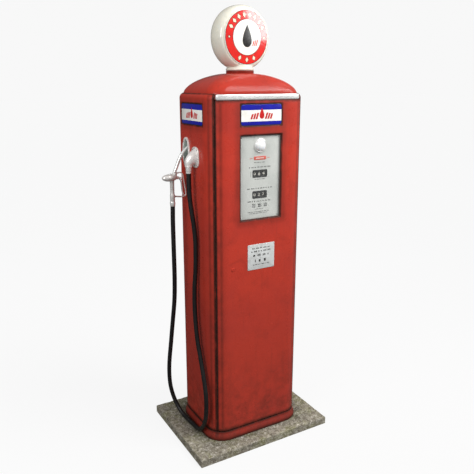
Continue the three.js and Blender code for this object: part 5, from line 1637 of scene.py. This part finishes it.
def nozzle_body():
    """The football-shaped valve body, its grip tube, the swivel and the packing nut."""
    rows = []
    for i in range(33):
        t = -math.cos(math.pi * i / 32)
        swell = math.sqrt(max(1 - t * t, 0.0)) ** 0.92
        rows.append([Vector((0.043 * t, 0.022 * swell * math.cos(a), 0.019 * swell * math.sin(a)))
                     for a in np.linspace(0, 2 * math.pi, 48, False)])
    shape = loft(rows).shifted(*VALVE)
    parting = turned([(0.0, -0.0010), (0.0204, -0.0010), (0.0208, 0.0), (0.0204, 0.0010), (0.0, 0.0010)],
                     56)
    stretch = Matrix.Diagonal((43.8 / 20.8, 22.6 / 20.8, 1, 1))
    shape.join(parting.moved(Matrix.Translation(VALVE + Vector((0, 0, 0.0006))) @ stretch))
    grip = [(0, -0.0010), (0.0127, -0.0010), (0.0133, 0.0002), (0.0138, 0.0070), (0.0140, 0.0090),
            (0.0140, 0.0210),
            (0.0134, 0.0232), (0.0122, 0.0250), (0.0122, 0.0270), (0.0130, 0.0290), (0.0132, 0.0560),
            (0.0130, 0.0600),
            (0.0118, 0.0650), (0.0113, 0.0700), (0.0112, 0.1100), (0.0118, 0.1300), (0.0132, 0.1420),
            (0.0, 0.1460)]
    shape.join(turned(grip, 48).shifted(*GRIP))
    socket = [(0.0, 0.0), (0.0120, 0.0), (0.0120, 0.0130), (0.0126, 0.0140), (0.0126, 0.0180),
              (0.0114, 0.0194), (0.0, 0.0196)]
    shape.join(turned(socket, 40).shifted(SPOUT_FOOT.x, SPOUT_FOOT.y, SPOUT_FOOT.z - 0.018))
    packing = [(0.0, 0.0), (0.0075, 0.0), (0.0075, 0.0160), (0.0068, 0.0175), (0.0068, 0.0190),
               (0.0, 0.0200)]
    nut_at = VALVE + Vector((0.034, 0, -0.003))
    shape.join(along_x(turned(packing, 32)).shifted(*nut_at))
    piece("nozzle_valve_body", shape, "nozzle", M["nozzle"], ["nozzle_body"], 45)
    bright = Shape()
    swivel = [(0.0141, 0.0085), (0.0144, 0.0095), (0.0144, 0.0205), (0.0141, 0.0215), (0.0136, 0.0215),
              (0.0136, 0.0085)]
    bright.join(turned(swivel, 48, closed=True).shifted(*GRIP))
    hexagon = [circle(r, h, 6) for r,
               h in ((0.0078, 0.0), (0.0086, 0.0006), (0.0086, 0.0064), (0.0078, 0.0070))]
    bright.join(along_x(loft(hexagon)).shifted(nut_at.x + 0.006, nut_at.y, nut_at.z))
    stem = soft_turned([(0, 0), (0.0030, 0), (0.0030, 0.0140), (0.0, 0.0146)], 0.0005, 20)
    bright.join(along_x(stem).shifted(nut_at.x + 0.019, nut_at.y, nut_at.z))
    cap = soft_turned([(0, 0), (0.0085, 0), (0.0085, 0.0034), (0.0060, 0.0046), (0, 0.0048)], 0.0008, 28)
    bright.join(cap.shifted(VALVE.x + 0.004, VALVE.y, VALVE.z + 0.0170))
    piece("nozzle_bright_parts", bright, "nozzle", M["chrome"])


def nozzle_spout():
    """The bent spout: an open tube with beads at its foot and near its tip."""
    route = [(-362, 62, 1495), (-362, 62, 1503), (-353, 62, 1523), (-340, 62, 1553), (-324, 62, 1585),
             (-303, 62, 1612), (-278, 62, 1631), (-254, 62, 1644)]
    line = bend_path([mm(*p) for p in route], 6)
    radius, sides = 0.0091, 32
    tube = sweep(line, round_section(radius, sides), caps=False)
    bore = sweep(line, round_section(radius - 0.0012, sides), caps=False)
    n = len(tube.verts)
    rims = []
    for first, second in ((0, n), (n - sides, 2 * n - sides)):
        for j in range(sides):
            k = (j + 1) % sides
            rims.append((first + j, first + k, second + k, second + j))
    tube.add(bore.verts, [tuple(reversed(f)) for f in bore.faces])
    tube.faces += rims
    tube.slots += [0] * len(rims)
    beads = Shape()
    for t in (2, 4, 6, len(line) - 3):
        tangent = (line[t + 1] - line[t]).normalized()
        turn = Vector((0, 0, 1)).rotation_difference(tangent).to_matrix().to_4x4()
        ring = [(radius - 0.0003, -0.0012), (radius + 0.0003, -0.0011), (radius + 0.0006, 0.0),
                (radius + 0.0003, 0.0011), (radius - 0.0003, 0.0012)]
        beads.join(turned(ring, 32, closed=True).moved(Matrix.Translation(line[t]) @ turn))
    piece("spout_tube", tube.join(beads), "nozzle", M["chrome"], ["nozzle_spout"], 40)


def nozzle_guard():
    """The bent wire guard round the lever, thicker along the bottom, with its stand and eye."""
    route = [(-345, 62, 1498), (-328, 62, 1499), (-316, 62, 1489), (-311, 62, 1460), (-305, 62, 1425),
             (-300, 62, 1392), (-303, 62, 1373), (-322, 62, 1369), (-345, 62, 1371), (-363.4, 62, 1374)]
    line = bend_path([mm(*p) for p in route], 8)

    def thicker_below(t):
        return 1.0 + 0.25 * max(0.0, min(1.0, (t - 0.7) / 0.1))

    bar = sweep(line, round_section(0.0033, 16), scale=thicker_below)
    stand = soft_turned([(0, 0), (0.0045, 0), (0.0045, 0.0095), (0, 0.0095)], 0.0008, 20)
    bar.join(along_x(stand).shifted(*mm(-350.5, 62, 1498)))
    eye = soft_turned([(0, 0), (0.0062, 0), (0.0062, 0.0030), (0, 0.0030)], 0.0008, 20)
    bar.join(along_x(eye).shifted(*mm(-364.8, 62, 1374)))
    piece("guard_wire", bar, "nozzle", M["nozzle"], ["nozzle_guard"], 50)


def nozzle_lever():
    """The bright flat lever on its pin."""
    route = [mm(-330, 62, 1467), mm(-325, 62, 1439), mm(-322, 62, 1403), mm(-316, 62, 1379.5)]
    bar = sweep(bend_path(route, 8), flat_section(0.0130, 0.0034))
    pin = soft_turned([(0, 0), (0.0055, 0), (0.0055, 0.0160), (0, 0.0160)], 0.0008, 28)
    bar.join(along_y(pin, 1).shifted(LEVER_PIN.x, LEVER_PIN.y - 0.008, LEVER_PIN.z))
    for side in (-1, 1):
        cap = soft_turned([(0, 0), (0.0032, 0), (0.0026, 0.0012), (0, 0.0014)], 0.0003, 20)
        bar.join(along_y(cap, side).shifted(LEVER_PIN.x, LEVER_PIN.y + side * 0.0078, LEVER_PIN.z))
    piece("squeeze_lever", bar, "nozzle_lever", M["chrome"], ["nozzle_lever"])


HOSE_ROUTE = (  # metres, with heights above the slab: the same points as in the CAD part
    (-0.329, -0.042, 1.5077), (-0.329, -0.043, 1.440), (-0.328, -0.047, 1.372), (-0.322, -0.055, 1.300),
    (-0.314, -0.062, 1.224), (-0.310, -0.066, 1.150), (-0.310, -0.066, 1.070), (-0.312, -0.064, 0.980),
    (-0.317, -0.058, 0.872), (-0.319, -0.062, 0.740), (-0.318, -0.080, 0.604), (-0.315, -0.112, 0.490),
    (-0.314, -0.144, 0.390), (-0.314, -0.167, 0.300), (-0.314, -0.172, 0.215), (-0.314, -0.160, 0.135),
    (-0.314, -0.126, 0.066), (-0.315, -0.074, 0.022), (-0.317, -0.012, 0.014), (-0.322, 0.054, 0.014),
    (-0.329, 0.112, 0.021), (-0.340, 0.160, 0.052), (-0.354, 0.189, 0.104), (-0.368, 0.199, 0.176),
    (-0.377, 0.192, 0.258), (-0.382, 0.172, 0.360), (-0.381, 0.140, 0.500), (-0.378, 0.112, 0.640),
    (-0.374, 0.088, 0.777), (-0.375, 0.074, 0.899), (-0.378, 0.066, 1.024), (-0.380, 0.062, 1.134),
    (-0.380, 0.062, 1.240), (-0.378, 0.062, 1.3227),
)


def fuel_hose():
    """One length of hose from the outlet's ferrule, down to the slab and up to the nozzle's swivel."""
    points = [(x, y, SLAB_TOP + z) for x, y, z in HOSE_ROUTE]
    line = bend_path(points, 8)
    length = sum((b - a).length for a, b in zip(line, line[1:]))
    radius = 0.0125
    inside_cad = 0.0002
    hose = sweep(line, round_section(radius - inside_cad, 24))
    tube = piece("delivery_hose", hose, "cabinet", M["hose"], ["hose"], 60)
    tube.parent = None
    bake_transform(tube)
    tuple(points[0])
    [tuple(p) for p in line]


# ---------------------------------------------------------------- latches and internals


LATCH_ACROSS = -0.168
LATCH_Z = SLAB_TOP + 1.010


def door_latch(face):
    """A square-key door latch: a painted head, a shaft and a cam behind the post."""
    node = f"{face}_latch"
    outer = HALF_D - 0.0035
    at = facing(face, outer, LATCH_ACROSS, LATCH_Z)
    head = soft_turned([(0, 0.0004), (0.0108, 0.0004), (0.0108, 0.0036), (0.0096, 0.0056), (0, 0.0058)],
                       0.0008, 36)
    head.join(loft([circle(0.0052, h, 4) for h in (0.0050, 0.0059)]))
    shaft_long = outer - min(abs(LOW[node].y), abs(HIGH[node].y))
    shaft = soft_turned([(0, -shaft_long), (0.0048, -shaft_long), (0.0048, 0.001), (0, 0.001)], 0.0006, 24)
    cam = tile(0.0140, 0.0400, 0.0050, 0.0040, 0.0008).shifted(0, 0.0120, -shaft_long)
    key = shaft.join(cam).join(head, 1).moved(at)
    piece(node + "_key", key, node, [M["brass"], M["door_red"]], [node])


def refine(nodes, material, bevel=0.0008):
    """Keeps a CAD part's shape, with its own material."""
    for node in nodes:
        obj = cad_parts[node]
        for slot in obj.material_slots:
            slot.material = material
        edge = obj.modifiers.new("edge", "BEVEL")
        edge.width = bevel
        edge.segments = 2
        edge.limit_method = "ANGLE"
        edge.angle_limit = math.radians(40)
        edge.use_clamp_overlap = True


def motor():
    """A finned motor with end bells, a foot and a terminal box."""
    low, high = LOW["motor"], HIGH["motor"]
    x, z, r = 0.125, SLAB_TOP + 0.118, 0.082
    long = high.y - low.y
    mid_y = (low.y + high.y) / 2
    profile = [(0, 0), (r * 0.42, 0), (r * 0.46, 0.004), (r * 0.80, 0.010), (r * 0.93, 0.020),
               (r * 0.93, 0.034)]
    barrel = [(r * 0.90, 0.036), (r * 0.90, long - 0.036)]
    shape = turned(profile + barrel + [(a, long - b) for a, b in reversed(profile)], 56)
    fin = along_x(tile(long - 0.084, 0.0026, 0.0010, r * 0.099, 0.0008, 2))
    shape.join(spun(fin.shifted(r * 0.895, 0, long / 2), 28))
    shape = along_y(shape, 1).shifted(x, low.y, z)
    shape.join(tile(0.140, long - 0.040, 0.006, 0.010, 0.002).shifted(x, mid_y, low.z))
    for foot_x in (x - 0.048, x + 0.048):
        shape.join(tile(0.020, long - 0.060, 0.004, 0.050, 0.002).shifted(foot_x, mid_y, low.z + 0.006))
    shape.join(tile(0.070, 0.080, 0.006, 0.058, 0.003).shifted(x, 0.030, high.z - 0.058))
    shape.join(tile(0.074, 0.084, 0.007, 0.005, 0.002).shifted(x, 0.030, high.z - 0.012))
    piece("pump_motor", shape, "cabinet", M["motor"], ["motor"])


def pulley(node, radius):
    """A flanged pulley with a dished web, ribs, a hub and its shaft."""
    low = LOW[node]
    centre = middle(node)
    wide, deep = 0.026, HIGH[node].y - low.y
    rim = [(radius - 0.010, 0), (radius + 0.0064, 0), (radius + 0.0070, 0.0008), (radius + 0.0070, 0.0032),
           (radius, 0.0046), (radius, wide - 0.0046), (radius + 0.0070, wide - 0.0032),
           (radius + 0.0070, wide - 0.0008),
           (radius + 0.0064, wide), (radius - 0.010, wide), (radius - 0.012, wide - 0.007),
           (0.022, wide - 0.008),
           (0.018, wide - 0.002), (0.0138, deep), (0.006, deep), (0.006, 0.002), (0.018, 0.002),
           (0.022, 0.008), (radius - 0.012, 0.007)]
    shape = turned(rim, 72, closed=True)
    reach = radius - 0.032
    rib = tile(reach, 0.010, 0.003, wide - 0.007, 0.002).shifted(0.019 + reach / 2, 0, 0.0035)
    shape.join(spun(rib, 5 if radius > 0.05 else 3))
    shaft_end = deep - 0.001
    shape.join(soft_turned([(0, 0.001), (0.0062, 0.001), (0.0062, shaft_end), (0, shaft_end)], 0.0006, 28))
    wheel = along_y(shape, 1).shifted(centre.x, low.y, centre.z)
    piece(node + "_wheel", wheel, node, M["iron"], [node])


def drive_belt():
    """The belt: two arcs and two straight runs, with a rounded section."""
    motor_at, pump_at = middle("motor_pulley"), middle("pump_pulley")
    small, large = 0.0348, 0.0848  # the radii of the belt's inner side
    dx, dz = motor_at.x - pump_at.x, motor_at.z - pump_at.z
    apart = math.hypot(dx, dz)
    heading = math.atan2(dz, dx)
    lean = math.acos((large - small) / apart)
    path = [(motor_at, small, heading + a) for a in np.linspace(-lean, lean, 25)]
    path += [(pump_at, large, heading + a) for a in np.linspace(lean, 2 * math.pi - lean, 49)]
    y0, y1 = LOW["drive_belt"].y, HIGH["drive_belt"].y
    section = [(0.0002, y0 + 0.0010), (0.0012, y0), (0.0040, y0), (0.0050, y0 + 0.0010),
               (0.0050, y1 - 0.0010),
               (0.0040, y1), (0.0012, y1), (0.0002, y1 - 0.0010)]
    rows = []
    for centre, radius, angle in path:
        rows.append([Vector((centre.x + (radius + e) * math.cos(angle), y, centre.z
                             + (radius + e) * math.sin(angle)))
                     for e, y in section])
    piece("belt_loop", loft(rows, closed=True), "cabinet", M["belt"], ["drive_belt"])


def pump_unit():
    """The pump and air separator casting, ribbed, with bolted covers and the suction pipe."""
    top = HIGH["pump_unit"].z
    x, y_mid = -0.130, 0.030
    shape = tile(0.182, 0.172, 0.012, 0.220, 0.006).shifted(x, y_mid, SLAB_TOP + 0.070)
    shape.join(tile(0.160, 0.150, 0.010, 0.065, 0.002).shifted(x, y_mid, LOW["base_skirt"].z + 0.006))
    for i in range(3):
        shape.join(tile(0.190, 0.180, 0.016, 0.010, 0.002).shifted(x, y_mid, SLAB_TOP + 0.110 + 0.060 * i))
    dome = [(0, 0), (0.070, 0), (0.070, 0.0420), (0.066, 0.0500), (0.056, 0.0560), (0.030, 0.0606),
            (0.026, 0.0610),
            (0.0, 0.0610)]
    shape.join(turned(dome, 56).shifted(x, y_mid, top - 0.0610))
    cover = soft_turned([(0, 0), (0.060, 0), (0.060, 0.0050), (0.046, 0.0074), (0, 0.0078)], 0.001, 56)
    shape.join(along_y(cover, -1).shifted(x, -0.0600, middle("pump_pulley").z))
    pipe = turned([(0, 0), (0.0238, 0), (0.0238, 0.055), (0, 0.055)], 40)
    shape.join(pipe.shifted(x, 0.060, LOW["pump_unit"].z))
    piece("pump_casting", shape, "cabinet", M["iron"], ["pump_unit"], 40)
    bolts = Shape()
    for i in range(6):
        a = i * math.pi / 3 + 0.3
        bolts.join(hex_head(0.0042, 0.0040).shifted(x + 0.060 * math.cos(a), y_mid + 0.060 * math.sin(a),
                                                    top - 0.0130))
    piece("pump_bolts", bolts, "cabinet", M["steel"])


def flow_meter():
    """The meter: a ribbed round case between bolted flanges on its plate."""
    low, high = LOW["flow_meter"], HIGH["flow_meter"]
    plate = tile(high.x - low.x, high.y - low.y, 0.003, 0.006, 0.001).shifted(0, 0, low.z)
    z0 = SLAB_TOP + 0.694
    case = [(0, z0 - 0.001), (0.060, z0 - 0.001), (0.060, z0 + 0.006), (0.086, z0 + 0.006),
            (0.092, z0 + 0.012),
            (0.092, z0 + 0.050), (0.0904, z0 + 0.054), (0.0904, z0 + 0.064), (0.104, z0 + 0.066),
            (0.104, z0 + 0.080),
            (0.0904, z0 + 0.082), (0.0904, z0 + 0.092), (0.092, z0 + 0.096), (0.092, z0 + 0.144),
            (0.082, z0 + 0.154),
            (0.050, z0 + 0.157), (0.040, z0 + 0.162), (0.040, high.z - 0.002), (0.038, high.z), (0, high.z)]
    plate.join(soft_turned(case, 0.0012, 64))
    piece("meter_case", plate, "cabinet", M["cast"], ["flow_meter"], 40)
    bolts = Shape()
    for i in range(10):
        a = i * math.pi / 5
        bolts.join(hex_head(0.0040, 0.0040).shifted(0.0975 * math.cos(a), 0.0975 * math.sin(a), z0 + 0.080))
    piece("meter_bolts", bolts, "cabinet", M["steel"])


def meter_shaft():
    """The shaft from the meter with its toothed crown wheel."""
    low, high = LOW["meter_shaft"], HIGH["meter_shaft"]
    shaft = soft_turned([(0, low.z), (0.0059, low.z), (0.0059, high.z - 0.012), (0.0270, high.z - 0.012),
                         (0.0270, high.z), (0, high.z)], 0.0005, 40)
    tooth = tile(0.0050, 0.0032, 0.0004, 0.0100, 0.0004, 2).shifted(0.0272, 0, high.z - 0.0112)
    shaft.join(spun(tooth, 28))
    piece("meter_spindle", shaft, "meter_shaft", M["steel"], ["meter_shaft"])


def bent_pipe(name, node, points, bend):
    """Iron pipe with round bends, through corners given in millimetres."""
    corners = [mm(*p) for p in points]
    line = [corners[0]]
    for before, corner, after in zip(corners, corners[1:], corners[2:]):
        a = corner + (before - corner).normalized() * bend
        b = corner + (after - corner).normalized() * bend
        line += [a.lerp(corner, t).lerp(corner.lerp(b, t), t) for t in np.linspace(0, 1, 9)]
    line.append(corners[-1])
    pipe = sweep(line, round_section(0.0188, 32))
    piece(name, pipe, "cabinet", M["pipe"], [node], 50)


# ---------------------------------------------------------------- assembly

concrete_slab()
base_skirt()
side_panel("left")
side_panel("right")
top_hood()
for face in ("front", "rear"):
    door(face)
    header_sheet(face)
    sill_strip(face, 0.011, 16)
    trim_bar(face)
    ad_glass(face, f"{face}_door")
    dial_bezel(face)
    dial_glass(face)
    dial_plate(face)
    sight_glass(face)
    globe_lens(face)
    door_latch(face)
seam_seal("front")
seam_seal("rear")
for face in ("left", "right"):
    ad_glass(face, "cabinet")
    sill_strip(face, 0.0065, 0)
flow_spinner()
for place, sale, volume in (("hundreds", 0, 0), ("tens", 6, 2), ("units", 4, 7)):
    number_wheel(f"sale_wheel_{place}", f"sale_{place}", sale)
    number_wheel(f"volume_wheel_{place}", f"volume_{place}", volume)
price_wheels()
notice_plate()
globe_body()
globe_lamp()
nozzle_boot()
outlet_elbow()
outlet_ferrule()
nozzle_body()
nozzle_spout()
nozzle_guard()
nozzle_lever()
fuel_hose()
motor()
pulley("motor_pulley", 0.034)
pulley("pump_pulley", 0.084)
drive_belt()
pump_unit()
flow_meter()
meter_shaft()
bent_pipe("delivery_line", "delivery_pipe",
          [(-130, 30, 350.3), (-130, 30, 600), (-40, 30, 640), (-40, 30, 687.7)], 0.036)
bent_pipe("riser_line", "riser_pipe",
          [(-105, -42, 800), (-198, -42, 800), (-198, -42, 1588), (-286.7, -42, 1588)], 0.044)
refine(["corner_post_front_left", "corner_post_front_right", "corner_post_rear_left",
        "corner_post_rear_right",
        "top_frame", "computer_shelf"], M["frame"])
refine(["computer_head"], M["cast"])


# ---------------------------------------------------------------- floor, light and camera

BACKDROP = 0.938  # the white that the camera sees
FLOOR_GLOW = 0.882
FLOOR_REACH = 60.0
ROOM_LOW = 0.20  # the light that comes from below the horizon
ROOM_HIGH = 0.62  # and from above it
ROOM_BEHIND = 0.35  # how much of that is left behind the pump

AREA_LIGHTS = (  # name, place, target, size and watts
    ("overhead", (2.2, -0.45, 4.1), (0.0, -0.1, 2.0), (1.1, 1.1), 5.5),
    ("shoulder", (1.6, -1.75, 3.5), (0.0, -0.15, 2.0), (1.6, 0.3), 14.0),
    ("right_edge", (2.0, -1.6, 2.9), (0.2, -0.2, 1.9), (0.9, 1.2), 36.0),
    ("side_fill", (-3.0, -1.4, 3.0), (0.0, 0.0, 1.5), (1.6, 1.6), 58.0),
    ("rear_fill", (2.6, 3.0, 2.4), (0.0, 0.2, 1.2), (1.8, 1.8), 10.0),
)

CAMERA_PLACE = (-1.5672, -2.6795, 2.0113)
CAMERA_TILT = 74.644
CAMERA_PAN = -30.04
CAMERA_LENS = 43.15
CAMERA_SENSOR = 36.0


def floor():
    """A pale floor that throws no light back on the pump."""
    paint = Paint("studio_floor")
    tone = paint.mix(paint.noise(1.5, 2, 0.5), (0.062, 0.062, 0.062), (0.064, 0.064, 0.064))
    paint.set(Base_Color=tone, Roughness=1.0, Specular_IOR_Level=0.0, Emission_Color=(1.0, 1.0, 1.0),
              Emission_Strength=FLOOR_GLOW)
    mesh = bpy.data.meshes.new("floor")
    corners = ((-1, -1), (1, -1), (1, 1), (-1, 1))
    mesh.from_pydata([(x * FLOOR_REACH, y * FLOOR_REACH, 0) for x, y in corners], [], [(0, 1, 2, 3)])
    mesh.materials.append(paint.material)
    obj = bpy.data.objects.new("floor", mesh)
    bpy.context.scene.collection.objects.link(obj)
    obj.visible_diffuse = False
    obj.visible_glossy = False


def area_light(name, place, target, size, power):
    light = bpy.data.lights.new(name, "AREA")
    light.shape = "RECTANGLE"
    light.size, light.size_y = size
    light.energy = power
    aim_light(name, light, place, target)


def sun_light(name, place, target, spread, power):
    light = bpy.data.lights.new(name, "SUN")
    light.energy = power
    light.angle = math.radians(spread)
    aim_light(name, light, place, target)


def aim_light(name, light, place, target):
    obj = bpy.data.objects.new(name, light)
    obj.location = place
    obj.rotation_euler = (Vector(target) - Vector(place)).to_track_quat("-Z", "Y").to_euler()
    bpy.context.scene.collection.objects.link(obj)


def studio_world():
    """A white backdrop for the camera, and for light a soft room, darker low down and behind the pump."""
    world = bpy.data.worlds.new("studio")
    world.use_nodes = True
    tree = world.node_tree
    new, link = tree.nodes.new, tree.links.new
    room = tree.nodes["Background"]
    split = new("ShaderNodeSeparateXYZ")
    link(new("ShaderNodeTexCoord").outputs["Generated"], split.inputs[0])
    product = new("ShaderNodeMath")
    product.operation = "MULTIPLY"
    ramps = (("Z", -0.6, 0.8, ROOM_LOW, ROOM_HIGH), ("Y", -0.1, 0.7, 1.0, ROOM_BEHIND))
    for (axis, *limits), factor in zip(ramps, product.inputs):
        ramp = new("ShaderNodeMapRange")
        ramp.interpolation_type = "SMOOTHSTEP"
        link(split.outputs[axis], ramp.inputs["Value"])
        for socket, value in zip(("From Min", "From Max", "To Min", "To Max"), limits):
            ramp.inputs[socket].default_value = value
        link(ramp.outputs[0], factor)
    link(product.outputs[0], room.inputs["Strength"])
    room.inputs["Color"].default_value = (1.0, 1.0, 1.0, 1.0)
    backdrop = new("ShaderNodeBackground")
    backdrop.inputs["Strength"].default_value = BACKDROP
    backdrop.inputs["Color"].default_value = (1.0, 1.0, 1.0, 1.0)
    choose = new("ShaderNodeMixShader")
    link(new("ShaderNodeLightPath").outputs["Is Camera Ray"], choose.inputs["Fac"])
    link(room.outputs[0], choose.inputs[1])
    link(backdrop.outputs[0], choose.inputs[2])
    link(choose.outputs[0], tree.nodes["World Output"].inputs["Surface"])
    bpy.context.scene.world = world


floor()
studio_world()
scene = bpy.context.scene
scene.view_settings.view_transform = "Standard"
scene.view_settings.look = "None"
sun_light("key", (2.4, -3.2, 4.6), (0.0, 0.0, 0.0), 30.0, 1.85)
for light in AREA_LIGHTS:
    area_light(*light)

camera = bpy.data.cameras.new("camera")
camera.lens = CAMERA_LENS
camera.sensor_width = CAMERA_SENSOR
camera_object = bpy.data.objects.new("camera", camera)
camera_object.location = CAMERA_PLACE
camera_object.rotation_euler = (math.radians(CAMERA_TILT), 0.0, math.radians(CAMERA_PAN))
scene.collection.objects.link(camera_object)
scene.camera = camera_object
